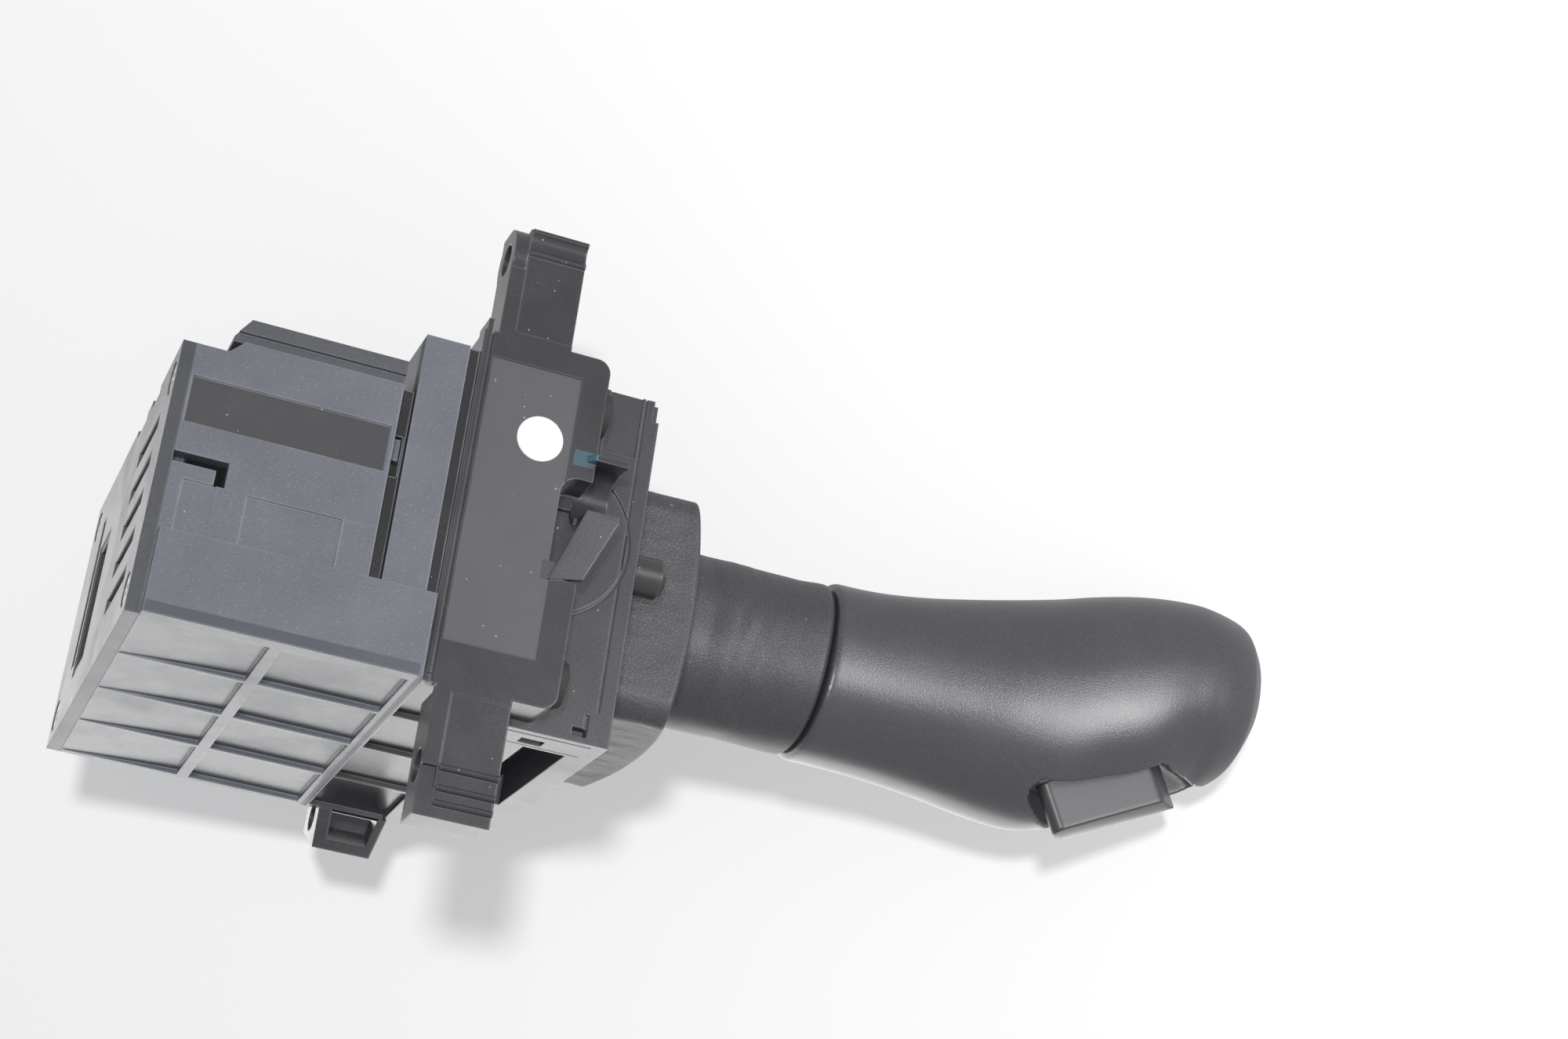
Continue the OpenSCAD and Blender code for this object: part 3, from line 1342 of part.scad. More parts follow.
module neck_sleeve() color("#35353a") {
    difference() {
        skin([for (h = [0, 1.5, 4, 8, 12, 17, 22, 26, 29, 31, 33, 35])
            let (z = lerp(neck_foot, seam_z - seam_gap / 2, h / 35), s = 0.06 * h / 35)
            ring(z, station(neck_stations, h, 1), station(neck_stations, h, 2), station(neck_stations, h, 3),
                station(neck_stations, h, 4), 2.2, s, skin_n)]);
        translate([lever_x, lever_y, neck_foot - 1])
            cylinder(r = shaft_d / 2 + 0.05, h = 60);
        translate([lever_x, lever_y, neck_foot - 1])
            cylinder(r = 11, h = 27);
    }
}

// Plunger pressed down onto the detent bowl
module detent_plunger() color("#d9dbe0") {
    translate([lever_x, lever_y, tip_z + tip_r]) {
        sphere(r = plunger_r, $fn = 32);
        cylinder(r = plunger_r, h = plunger_l - tip_r - 4);
        translate([0, 0, plunger_l - tip_r - 4 - eps])
            cylinder(r = plunger_r - 0.9, h = 2);
    }
}

module detent_spring() color("#c4c6ca") {
    z0 = tip_z + plunger_l - 4;
    translate([lever_x, lever_y, z0 + 0.05])
        coil(plunger_r - 0.4, 0.3, pivot_z - cross_r - 3 - z0 - 0.1, 6);
}

lower_housing();
side_cover();
base_cover();
connector_socket();
connector_pins();
circuit_board();
hall_sensors();
board_screws();
housing_screws();
detent_block();
upper_frame();
frame_screws();
rubber_buffers();
inspection_dot();
bezel_frame();
locating_stub();
boot_collar();
pivot_bushes();
gimbal_ring();
cross_pin();
lever_carrier();
magnet_holder();
magnet();
lever_shaft();
dust_slide();
neck_sleeve();
knob_shell();
knob_clip();
pocket_liner();
knob_board();
display_lens();
detent_plunger();
detent_spring();
unlock_button();
unlock_switch();
park_button();
park_spring();
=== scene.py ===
import math

import bpy
from mathutils import Matrix, Vector, noise


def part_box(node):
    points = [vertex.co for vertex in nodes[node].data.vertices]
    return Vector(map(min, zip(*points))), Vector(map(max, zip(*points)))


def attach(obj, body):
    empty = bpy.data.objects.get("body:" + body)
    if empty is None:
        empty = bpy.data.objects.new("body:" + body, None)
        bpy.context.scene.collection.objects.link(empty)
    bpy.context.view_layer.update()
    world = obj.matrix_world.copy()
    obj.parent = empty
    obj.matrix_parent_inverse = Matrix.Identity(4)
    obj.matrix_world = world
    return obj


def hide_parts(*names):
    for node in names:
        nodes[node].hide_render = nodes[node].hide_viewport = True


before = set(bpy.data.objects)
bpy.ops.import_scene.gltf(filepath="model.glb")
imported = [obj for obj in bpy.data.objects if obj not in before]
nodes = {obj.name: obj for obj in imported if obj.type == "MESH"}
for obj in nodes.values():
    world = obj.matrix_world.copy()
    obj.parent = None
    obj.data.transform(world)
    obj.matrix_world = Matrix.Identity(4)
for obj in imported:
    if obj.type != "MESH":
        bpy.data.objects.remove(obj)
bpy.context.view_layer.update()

scene = bpy.context.scene
MM = 0.001

# Camera
# The shifter lies on a white table and is seen from its front side, so the camera
# looks along +Y, with the lever pointing to the right of the picture.
camera_right = Vector((-0.12496, -0.35123, 0.92791))
camera_up = Vector((-0.91914, -0.31118, -0.24157))
camera_back = Vector((0.3736, -0.88306, -0.28395))
camera_place = Vector((0.19173, -0.52762, -0.04486))
camera_data = bpy.data.cameras.new("camera")
camera_data.lens = 70.0
camera_data.sensor_width = 36.0
camera_data.clip_start = 0.02
camera = bpy.data.objects.new("camera", camera_data)
camera_axes = Matrix((camera_right, camera_up, camera_back)).transposed().to_4x4()
camera.matrix_world = Matrix.Translation(camera_place) @ camera_axes
scene.collection.objects.link(camera)
scene.camera = camera
scene.view_settings.view_transform = "Standard"


# Room, table and lamps
# A photo tent: white all round, a white table behind the shifter and a pale floor under
# its base. The room's light on the object is plain, and the tables only take shadows.
def put(tree, kind, sockets=None, **settings):
    """Adds a shader node, with its settings and with values or links for its sockets."""
    made = tree.nodes.new("ShaderNode" + kind)
    for key, value in settings.items():
        setattr(made, key, value)
    for socket, value in (sockets or {}).items():
        if isinstance(value, bpy.types.NodeSocket):
            tree.links.new(value, made.inputs[socket])
        else:
            made.inputs[socket].default_value = value
    return made


room_level = 0.33
mirror_share = 0.5
room = bpy.data.worlds.new("room")
room.use_nodes = True
sky = room.node_tree
sky.nodes.clear()
ray = put(sky, "LightPath")
mirrored = put(sky, "Math", {0: ray.outputs["Is Glossy Ray"], 1: mirror_share}, operation="MULTIPLY")
seen = put(sky, "Math", {0: ray.outputs["Is Camera Ray"], 1: mirrored.outputs[0]}, operation="MAXIMUM")
seen = put(sky, "Math", {0: seen.outputs[0], 1: ray.outputs["Is Transmission Ray"]}, operation="MAXIMUM")
plain = put(sky, "Background", {"Color": (0.97, 0.985, 1.0, 1), "Strength": room_level})
white = put(sky, "Background", {"Color": (1, 1, 1, 1), "Strength": 1.0})
both = put(sky, "MixShader", {0: seen.outputs[0], 1: plain.outputs[0], 2: white.outputs[0]})
put(sky, "OutputWorld", {"Surface": both.outputs[0]})
scene.world = room

table_white = bpy.data.materials.new("table_white")
table_white.use_nodes = True
tree = table_white.node_tree
tree.nodes.clear()
spread = put(tree, "TexNoise", {"Scale": 3.0, "Detail": 1.0})
tone = put(tree, "MapRange", {"Value": spread.outputs[0], "To Min": 0.975, "To Max": 0.99})
paint = put(tree, "BsdfDiffuse", {"Color": tone.outputs[0]})
clear = put(tree, "BsdfTransparent")
side = put(tree, "NewGeometry")
sheet = put(tree, "MixShader", {0: side.outputs["Backfacing"], 1: paint.outputs[0], 2: clear.outputs[0]})
put(tree, "OutputMaterial", {"Surface": sheet.outputs[0]})


def table(name, place, normal, reach):
    """A white sheet that shows only from its front and keeps no light from the object."""
    side = normal.orthogonal().normalized()
    other = normal.cross(side)
    corners = [place + side * a * reach + other * b * reach for a, b in ((-1, -1), (1, -1), (1, 1), (-1, 1))]
    mesh = bpy.data.meshes.new(name)
    mesh.from_pydata(corners, [], [(0, 1, 2, 3)])
    mesh.materials.append(table_white)
    made = bpy.data.objects.new(name, mesh)
    scene.collection.objects.link(made)
    made.visible_shadow = False
    made.visible_diffuse = False
    made.visible_glossy = False


table_depth = 0.634
table_reach = 1.2
floor_z = -0.6 * MM
table("table", camera_place - camera_back * table_depth, camera_back, table_reach)
table("floor", Vector((0, 0, floor_z)), Vector((0, 0, 1)), table_reach)

lamp_target = Vector((0, 0, 0.11))


def soft_box(name, direction, distance, size, power, casts_shadow=True):
    """A round soft box that shines at the middle of the shifter."""
    data = bpy.data.lights.new(name, "AREA")
    data.shape = "DISK"
    data.size = size
    data.energy = power
    data.use_shadow = casts_shadow
    made = bpy.data.objects.new(name, data)
    made.location = lamp_target + direction.normalized() * distance
    made.rotation_euler = (-direction).to_track_quat("-Z", "Y").to_euler()
    made.visible_camera = False
    scene.collection.objects.link(made)


# The key lamp by the camera casts the shadow, the side lamp draws the sheen along the knob,
# and the back lamp lights the side that is turned away from the camera
key_way = camera_back + camera_up * 0.25 + camera_right * 0.03
side_way = camera_back * 0.61 + camera_up * 0.2 + camera_right * 0.76
back_way = Vector((0.1, 1, 0.05))
soft_box("key_box", key_way, distance=1.2, size=0.09, power=5.4)
soft_box("side_box", side_way, distance=1.0, size=0.5, power=6.2, casts_shadow=False)
soft_box("back_box", back_way, distance=0.9, size=1.2, power=6)


# Lower housing and its covers
# Glass-filled polyamide shell with a spark-eroded grain, a snap-on side cover and a screwed
# base cover. A polished band crosses the front, and the fins of the ribbed side are smooth.
def new_group(name, inputs, outputs):
    """An empty shader node group with named sockets, its input node and its output node."""
    made = bpy.data.node_groups.new(name, "ShaderNodeTree")
    kinds = {"f": "NodeSocketFloat", "v": "NodeSocketVector", "c": "NodeSocketColor"}
    for label, kind, value in inputs:
        made.interface.new_socket(label, in_out="INPUT", socket_type=kinds[kind]).default_value = value
    for label, kind in outputs:
        made.interface.new_socket(label, in_out="OUTPUT", socket_type=kinds[kind])
    return made, made.nodes.new("NodeGroupInput"), made.nodes.new("NodeGroupOutput")


def place_coords(tree):
    return put(tree, "TexCoord").outputs["Object"]


# Spark-eroded grain: a fine height and rare bright flecks
grain, inside, outside = new_group(
    "moulded_grain", [("Size", "f", 0.0003)], [("Height", "f"), ("Fleck", "f")])
often = put(grain, "Math", {0: 1.0, 1: inside.outputs["Size"]}, operation="DIVIDE").outputs[0]
fine = put(grain, "TexNoise", {"Vector": place_coords(grain), "Scale": often, "Detail": 2.0})
cells = put(grain, "TexVoronoi", {"Vector": place_coords(grain), "Scale": often})
height = put(grain, "Mix", {"Factor": 0.45, "A": fine.outputs[0], "B": cells.outputs["Distance"]})
chance = put(grain, "SeparateColor", {"Color": cells.outputs["Color"]})
fleck = put(grain, "MapRange", {"Value": chance.outputs[0], "From Min": 0.9, "From Max": 1.0})
grain.links.new(height.outputs[0], outside.inputs["Height"])
grain.links.new(fleck.outputs[0], outside.inputs["Fleck"])

# Rounded edges of a moulding, and a mask of those edges
edges, inside, outside = new_group("moulded_edges", [], [("Normal", "v"), ("Edge", "f")])
edge_radius = 0.45 * MM
turned = put(edges, "Bevel", {"Radius": edge_radius}, samples=6)
faced = put(edges, "NewGeometry")
match = put(edges, "VectorMath", {0: turned.outputs[0], 1: faced.outputs["Normal"]}, operation="DOT_PRODUCT")
edge = put(edges, "MapRange", {"Value": match.outputs["Value"], "From Min": 0.995, "From Max": 0.9})
edges.links.new(turned.outputs[0], outside.inputs["Normal"])
edges.links.new(edge.outputs[0], outside.inputs["Edge"])

# Hairline scratches: contour lines of a noise that is drawn out along one direction
hairs, inside, outside = new_group(
    "hair_scratches", [("Turn", "v", (0, 0, 0)), ("Size", "f", 0.02), ("Amount", "f", 0.5)], [("Mask", "f")])
turned = put(hairs, "VectorRotate", {"Vector": place_coords(hairs), "Rotation": inside.outputs["Turn"]},
             rotation_type="EULER_XYZ")
drawn = put(hairs, "VectorMath", {0: turned.outputs[0], 1: (1.0, 14.0, 14.0)}, operation="MULTIPLY")
often = put(hairs, "Math", {0: 1.0, 1: inside.outputs["Size"]}, operation="DIVIDE").outputs[0]
field = put(hairs, "TexNoise", {"Vector": drawn.outputs[0], "Scale": often, "Detail": 3.0, "Roughness": 0.7})
level = put(hairs, "Math", {0: field.outputs[0], 1: 0.53}, operation="SUBTRACT")
level = put(hairs, "Math", {0: level.outputs[0]}, operation="ABSOLUTE")
line = put(hairs, "MapRange", {"Value": level.outputs[0], "From Min": 0.006, "From Max": 0.0})
where = put(hairs, "TexNoise", {"Vector": place_coords(hairs), "Scale": 60.0, "Detail": 2.0})
where = put(hairs, "MapRange", {"Value": where.outputs[0], "From Min": 0.5, "From Max": 0.62})
line = put(hairs, "Math", {0: line.outputs[0], 1: where.outputs[0]}, operation="MULTIPLY")
line = put(hairs, "Math", {0: line.outputs[0], 1: inside.outputs["Amount"]}, operation="MULTIPLY")
hairs.links.new(line.outputs[0], outside.inputs["Mask"])

# Dust: single specks and a faint haze
dusty, inside, outside = new_group("dust", [("Amount", "f", 0.5)], [("Speck", "f"), ("Haze", "f")])
strewn = put(dusty, "TexNoise", {"Vector": place_coords(dusty), "Scale": 800.0, "Detail": 1.0})
strewn = put(dusty, "VectorMath", {0: strewn.outputs["Color"], "Scale": 0.0012}, operation="SCALE")
strewn = put(dusty, "VectorMath", {0: place_coords(dusty), 1: strewn.outputs[0]}, operation="ADD")
cells = put(dusty, "TexVoronoi", {"Vector": strewn.outputs[0], "Scale": 1150.0})
chance = put(dusty, "SeparateColor", {"Color": cells.outputs["Color"]})
cloud = put(dusty, "TexNoise", {"Vector": place_coords(dusty), "Scale": 55.0, "Detail": 5.0,
                                "Roughness": 0.7})
odds = put(dusty, "MapRange", {"Value": cloud.outputs[0], "From Min": 0.4, "From Max": 0.7,
                               "To Min": 0.995, "To Max": 0.93})
rare = put(dusty, "Math", {0: chance.outputs[1], 1: odds.outputs[0]}, operation="GREATER_THAN")
reach = put(dusty, "MapRange", {"Value": chance.outputs[2], "To Min": 0.06, "To Max": 0.2})
dot = put(dusty, "Math", {0: cells.outputs["Distance"], 1: reach.outputs[0]}, operation="LESS_THAN")
speck = put(dusty, "Math", {0: rare.outputs[0], 1: dot.outputs[0]}, operation="MULTIPLY")
speck = put(dusty, "Math", {0: speck.outputs[0], 1: inside.outputs["Amount"]}, operation="MULTIPLY")
haze = put(dusty, "MapRange", {"Value": cloud.outputs[0], "From Min": 0.45, "From Max": 0.75})
haze = put(dusty, "Math", {0: haze.outputs[0], 1: inside.outputs["Amount"]}, operation="MULTIPLY")
dusty.links.new(speck.outputs[0], outside.inputs["Speck"])
dusty.links.new(haze.outputs[0], outside.inputs["Haze"])

# A patch of another finish, of painted shade or of painted sheen, inside a box of the object's own
# coordinates
patch, inside, outside = new_group(
    "patch", [("Low", "v", (0, 0, 0)), ("High", "v", (0, 0, 0)), ("Soft", "f", 0.0002)], [("Mask", "f")])
above = put(patch, "VectorMath", {0: place_coords(patch), 1: inside.outputs["Low"]}, operation="SUBTRACT")
below = put(patch, "VectorMath", {0: inside.outputs["High"], 1: place_coords(patch)}, operation="SUBTRACT")
depth = put(patch, "VectorMath", {0: above.outputs[0], 1: below.outputs[0]}, operation="MINIMUM")
parts = put(patch, "SeparateXYZ", {0: depth.outputs[0]})
least = put(patch, "Math", {0: parts.outputs[0], 1: parts.outputs[1]}, operation="MINIMUM")
least = put(patch, "Math", {0: least.outputs[0], 1: parts.outputs[2]}, operation="MINIMUM")
share = put(patch, "Math", {0: least.outputs[0], 1: inside.outputs["Soft"]},
            operation="DIVIDE", use_clamp=True)
patch.links.new(share.outputs[0], outside.inputs["Mask"])


def group(tree, made, sockets=None):
    """Places a node group in a material."""
    node = tree.nodes.new("ShaderNodeGroup")
    node.node_tree = made
    for socket, value in (sockets or {}).items():
        node.inputs[socket].default_value = value
    return node


def blend_to(tree, mask, low, high):
    """A value or colour that goes from low to high by the mask."""
    colour = isinstance(high, tuple) or isinstance(low, tuple)
    mix = tree.nodes.new("ShaderNodeMix")
    mix.data_type = "RGBA" if colour else "FLOAT"
    first = 6 if colour else 2
    for index, value in ((0, mask), (first, low), (first + 1, high)):
        if isinstance(value, bpy.types.NodeSocket):
            tree.links.new(value, mix.inputs[index])
        else:
            mix.inputs[index].default_value = (*value, 1) if isinstance(value, tuple) else value
    return mix.outputs[2 if colour else 0]


def shade_of(colour, factor, lift=0.0):
    """A darker or lighter shade of a colour."""
    return tuple(min(1.0, c * factor + lift) for c in colour)


# Two sets of hairlines: how each is turned, and how long its lines are
hairline_sets = (((0.3, 0.4, 1.9), 14), ((0.9, 1.2, 0.4), 9))
bump_distance = 0.12 * MM
dust_tone = (0.62, 0.62, 0.6)


def moulded(name, colour, rough, grain_size=0.3, grain_bump=0.25, wear_and_highlight=0.35, scratch=0.3, dirt=0.3,
            patches=(), rounded=True, metal=0.0):
    """A moulded or plated surface: grain, soft edges lightened as wear and as a painted highlight, scratches,
    dust and patches of other finish, of painted shade and of painted sheen.
    """
    made = bpy.data.materials.new(name)
    made.use_nodes = True
    tree = made.node_tree
    surface = tree.nodes["Principled BSDF"]
    surface.inputs["Metallic"].default_value = metal
    cloud = put(tree, "TexNoise", {"Vector": place_coords(tree), "Scale": 90.0, "Detail": 4.0})
    tone = blend_to(tree, cloud.outputs[0], shade_of(colour, 0.85), shade_of(colour, 1.25, 0.004))
    matt = blend_to(tree, cloud.outputs[0], rough - 0.04, rough + 0.05)
    grains = group(tree, grain, {"Size": grain_size * MM})
    flecks = put(tree, "Math", {0: grains.outputs["Fleck"], 1: grain_bump}, operation="MULTIPLY").outputs[0]
    tone = blend_to(tree, flecks, tone, shade_of(colour, 1.9, 0.02))
    bump_height = grains.outputs["Height"]
    for low, high, soft, colour_here, rough_here in patches:
        here = group(tree, patch, {"Low": [v * MM for v in low], "High": [v * MM for v in high],
                                   "Soft": soft * MM})
        mask = here.outputs["Mask"]
        tone = blend_to(tree, mask, tone, colour_here)
        matt = blend_to(tree, mask, matt, rough_here)
        bump_height = blend_to(tree, mask, bump_height, 0.5)
    rounded_edges = group(tree, edges)
    # The edge mask lightens the edges: partly real wear, partly a painted highlight along them
    rub_and_highlight = put(tree, "Math", {0: rounded_edges.outputs["Edge"], 1: cloud.outputs[0]}, operation="MULTIPLY")
    rub_and_highlight = put(tree, "Math", {0: rub_and_highlight.outputs[0], 1: wear_and_highlight * 2}, operation="MULTIPLY", use_clamp=True)
    tone = blend_to(tree, rub_and_highlight.outputs[0], tone, shade_of(colour, 2.2, 0.05))
    for turn, size in hairline_sets:
        lines = group(tree, hairs, {"Turn": turn, "Size": size * MM, "Amount": scratch})
        tone = blend_to(tree, lines.outputs[0], tone, shade_of(colour, 2.5, 0.1))
    fallen = group(tree, dusty, {"Amount": dirt})
    tone = blend_to(tree, fallen.outputs["Speck"], tone, dust_tone)
    matt = blend_to(tree, fallen.outputs["Haze"], matt, min(1.0, rough + 0.12))
    bump = put(tree, "Bump", {"Strength": grain_bump, "Distance": bump_distance, "Height": bump_height})
    if rounded:
        tree.links.new(rounded_edges.outputs["Normal"], bump.inputs["Normal"])
    tree.links.new(tone, surface.inputs["Base Color"])
    tree.links.new(matt, surface.inputs["Roughness"])
    tree.links.new(bump.outputs[0], surface.inputs["Normal"])
    return made


def dress(material, *names):
    """Gives CAD nodes their finish."""
    for name in names:
        slots = nodes[name].data.materials
        slots.clear()
        slots.append(material)


housing_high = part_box("lower_housing")[1]
# Planes of the front plate and of the band that is sunk in it
plate_y = -46.2
sunk_y = -45.8
right_x = housing_high[0] / MM
body_top = housing_high[2] / MM
graphite = (0.112, 0.116, 0.139)
band = ((-10.5, plate_y + 0.1, 2.7), (-1.8, sunk_y + 0.4, 37.7), 0.2, (0.062, 0.061, 0.067), 0.22)
# The near-black patches in the shelf groove and along the seat line are painted shade in those recesses
gap_shade_black = (0.012, 0.012, 0.014)
gap_rough = 0.7
groove_shade = ((-31, plate_y + 0.2, 37.9), (17.8, -42.4, 40.9), 0.3, gap_shade_black, gap_rough)
seat_line_shade = ((-31, plate_y + 0.2, 48.5), (17.8, -42.4, 51), 0.3, gap_shade_black, gap_rough)
ribbed = ((right_x - 2.2, -50, 2.6), (right_x + 1, 60, body_top - 1), 0.2, (0.082, 0.088, 0.102), 0.26)
dress(moulded("housing_grain", graphite, 0.42, grain_size=0.24, grain_bump=0.42, wear_and_highlight=0.75, scratch=0.3,
              dirt=0.45, patches=[band, groove_shade, seat_line_shade, ribbed]),
      "lower_housing")
dress(moulded("cover_grain", (0.062, 0.065, 0.075), 0.42, grain_size=0.24, grain_bump=0.4, wear_and_highlight=0.5,
              scratch=0.3, dirt=0.5),
      "side_cover")
dress(moulded("base_grain", (0.055, 0.058, 0.066), 0.34, grain_size=0.24, grain_bump=0.25, wear_and_highlight=0.4,
              scratch=0.5, dirt=0.6),
      "base_cover")

# Circuit, connector and screws
# A laminate board with its sensors, the plug socket that goes through the base cover with
# its plated pins, and zinc-plated thread-forming screws.
dress(moulded("socket_black", (0.02, 0.02, 0.022), 0.4, grain_size=0.25, grain_bump=0.15),
      "connector_socket", "hall_sensors")
dress(moulded("pin_plating", (0.83, 0.66, 0.3), 0.25, grain_size=0.2, grain_bump=0.05, wear_and_highlight=0.1,
              scratch=0.2, dirt=0.1, metal=1.0),
      "connector_pins")
dress(moulded("zinc_plating", (0.5, 0.51, 0.53), 0.35, grain_size=0.2, grain_bump=0.1, wear_and_highlight=0.2,
              scratch=0.4, dirt=0.2, metal=1.0),
      "board_screws", "housing_screws", "frame_screws")
laminate = moulded("solder_mask", (0.015, 0.11, 0.055), 0.28, grain_size=0.5, grain_bump=0.1, wear_and_highlight=0.2,
                   scratch=0.2, dirt=0.2)
tree = laminate.node_tree
tracks = put(tree, "TexBrick", {"Vector": place_coords(tree), "Scale": 260.0, "Mortar Size": 0.06,
                                "Color1": (0.015, 0.11, 0.055, 1), "Color2": (0.018, 0.13, 0.062, 1),
                                "Mortar": (0.05, 0.2, 0.09, 1)})
tree.links.new(tracks.outputs[0], tree.nodes["Principled BSDF"].inputs["Base Color"])
dress(laminate, "circuit_board", "knob_board")

# Detent, gimbal and lever
# The hidden works: an acetal detent bowl, a die-cast gimbal ring on acetal bushes, a ground
# cross pin and shaft, the black lever carrier with its magnet, and the spring-loaded plunger.
acetal = (0.7, 0.67, 0.58)
dress(moulded("acetal", acetal, 0.42, grain_size=0.4, grain_bump=0.1, wear_and_highlight=0.1, scratch=0.15, dirt=0.2),
      "detent_block", "pivot_bushes", "magnet_holder")
dress(moulded("cast_alloy", (0.5, 0.51, 0.53), 0.42, grain_size=0.5, grain_bump=0.3, wear_and_highlight=0.3, scratch=0.3,
              dirt=0.2, metal=1.0),
      "gimbal_ring")
dress(moulded("ground_steel", (0.56, 0.57, 0.59), 0.24, grain_size=0.15, grain_bump=0.1, wear_and_highlight=0.1,
              scratch=0.5, dirt=0.1, metal=1.0),
      "cross_pin", "lever_shaft", "knob_clip", "detent_plunger", "detent_spring", "park_spring")
dress(moulded("nickel_plating", (0.42, 0.4, 0.36), 0.22, grain_size=0.2, grain_bump=0.05, metal=1.0),
      "magnet")
dress(moulded("carrier_black", (0.03, 0.03, 0.033), 0.5, grain_size=0.3, grain_bump=0.25), "lever_carrier")
dress(moulded("slide_black", (0.022, 0.022, 0.024), 0.35, grain_size=0.3, grain_bump=0.12, wear_and_highlight=0.2,
              scratch=0.6, dirt=0.4),
      "dust_slide")

# Upper frame
# The bracket of the shifter: semi-gloss black polyamide with four ears, a polished recess
# over the front plate, a moulded harness clip with a marker dab, and two rubber buffers.
frame_black = (0.034, 0.034, 0.039)
# The polished recess has a smoother finish and is painted lighter than the frame: a painted sheen
polished_sheen = ((-28.4, plate_y + 0.1, 52.4), (25.2, sunk_y + 0.4, 69.8), 0.2, (0.105, 0.103, 0.112), 0.22)
marker = ((-15, -49.4, 70), (-12, -46.1, 73.9), 0.3, (0.075, 0.21, 0.29), 0.5)
dress(moulded("frame_satin", frame_black, 0.23, grain_size=0.24, grain_bump=0.14, wear_and_highlight=0.9, scratch=0.45,
              dirt=0.6, patches=[polished_sheen, marker]),
      "upper_frame")
dress(moulded("buffer_rubber", (0.025, 0.025, 0.025), 0.72, grain_size=0.4, grain_bump=0.2, wear_and_highlight=0.1,
              scratch=0.05, dirt=0.7),
      "rubber_buffers", "unlock_switch")
dress(moulded("label_white", (0.86, 0.87, 0.86), 0.5, grain_size=0.3, grain_bump=0.03, wear_and_highlight=0.0,
              scratch=0.0, dirt=0.1),
      "inspection_dot")

# Bezel frame and stub
# The cap of the housing carries the outer pivots. It is semi-gloss polyamide with open
# windows in both sides, and the locating stub is moulded on its top face.
dress(moulded("bezel_satin", (0.042, 0.043, 0.049), 0.28, grain_size=0.24, grain_bump=0.18, wear_and_highlight=0.9,
              scratch=0.45, dirt=0.7),
      "bezel_frame")
dress(moulded("stub_satin", (0.04, 0.038, 0.038), 0.3, grain_size=0.3, grain_bump=0.15, wear_and_highlight=0.6,
              scratch=0.6, dirt=0.8),
      "locating_stub")


# Boot collar
# A slush-moulded skin with a leather grain on a stiff core, clipped round the opening of
# the bezel. Its rim is crowned, and the skin is creased where it was folded over.
dust_on_skin = (0.6, 0.6, 0.58)


def leathered(name, colour, rough, cell=0.9, bump_depth=0.35, crease=0.3, dirt=0.3):
    """A leather-grained skin: pebble cells with painted shade in the valleys between them, fine creases,
    rubbed patches and a little dust.
    """
    made = bpy.data.materials.new(name)
    made.use_nodes = True
    tree = made.node_tree
    surface = tree.nodes["Principled BSDF"]
    skin = group(tree, leather, {"Cell": cell * MM, "Crease": crease})
    cloud = put(tree, "TexNoise", {"Vector": place_coords(tree), "Scale": 70.0, "Detail": 5.0,
                                   "Roughness": 0.6})
    tone = blend_to(tree, cloud.outputs[0], shade_of(colour, 0.8), shade_of(colour, 1.25))
    # The valleys between the pebbles are painted darker: painted shade
    tone = blend_to(tree, skin.outputs["Valley"], tone, shade_of(colour, 0.7))
    matt = blend_to(tree, cloud.outputs[0], rough - 0.07, rough + 0.08)
    lines = group(tree, hairs, {"Turn": (0.2, 1.1, 0.5), "Size": 8 * MM, "Amount": 0.25})
    tone = blend_to(tree, lines.outputs[0], tone, shade_of(colour, 1.9))
    fallen = group(tree, dusty, {"Amount": dirt})
    tone = blend_to(tree, fallen.outputs["Speck"], tone, dust_on_skin)
    bump = put(tree, "Bump", {"Strength": bump_depth, "Distance": bump_distance,
                              "Height": skin.outputs["Height"]})
    tree.links.new(tone, surface.inputs["Base Color"])
    tree.links.new(matt, surface.inputs["Roughness"])
    tree.links.new(bump.outputs[0], surface.inputs["Normal"])
    return made


# Leather grain: pebbles with fine valleys between them, and long soft folds
leather, inside, outside = new_group(
    "leather_grain", [("Cell", "f", 0.0009), ("Crease", "f", 0.3)], [("Height", "f"), ("Valley", "f")])
often = put(leather, "Math", {0: 1.0, 1: inside.outputs["Cell"]}, operation="DIVIDE").outputs[0]
bent = put(leather, "TexNoise", {"Vector": place_coords(leather), "Scale": 900.0, "Detail": 2.0})
shift = put(leather, "VectorMath", {0: bent.outputs["Color"], 1: (0.5, 0.5, 0.5)}, operation="SUBTRACT")
shift = put(leather, "VectorMath", {0: shift.outputs[0], "Scale": 0.0005}, operation="SCALE")
moved = put(leather, "VectorMath", {0: place_coords(leather), 1: shift.outputs[0]}, operation="ADD")
pebbles = put(leather, "TexVoronoi", {"Vector": moved.outputs[0], "Scale": often}, feature="DISTANCE_TO_EDGE")
pebble = put(leather, "MapRange", {"Value": pebbles.outputs["Distance"], "From Min": 0.0, "From Max": 0.22})
long_way = put(leather, "VectorMath", {0: moved.outputs[0], 1: (1.0, 1.0, 4.0)}, operation="MULTIPLY")
folds = put(leather, "TexNoise", {"Vector": long_way.outputs[0], "Scale": 230.0, "Detail": 4.0,
                                  "Roughness": 0.6})
height = put(leather, "Mix", {"Factor": inside.outputs["Crease"], "A": pebble.outputs[0],
                              "B": folds.outputs[0]})
valley = put(leather, "Math", {0: 1.0, 1: pebble.outputs[0]}, operation="SUBTRACT")
leather.links.new(height.outputs[0], outside.inputs["Height"])
leather.links.new(valley.outputs[0], outside.inputs["Valley"])


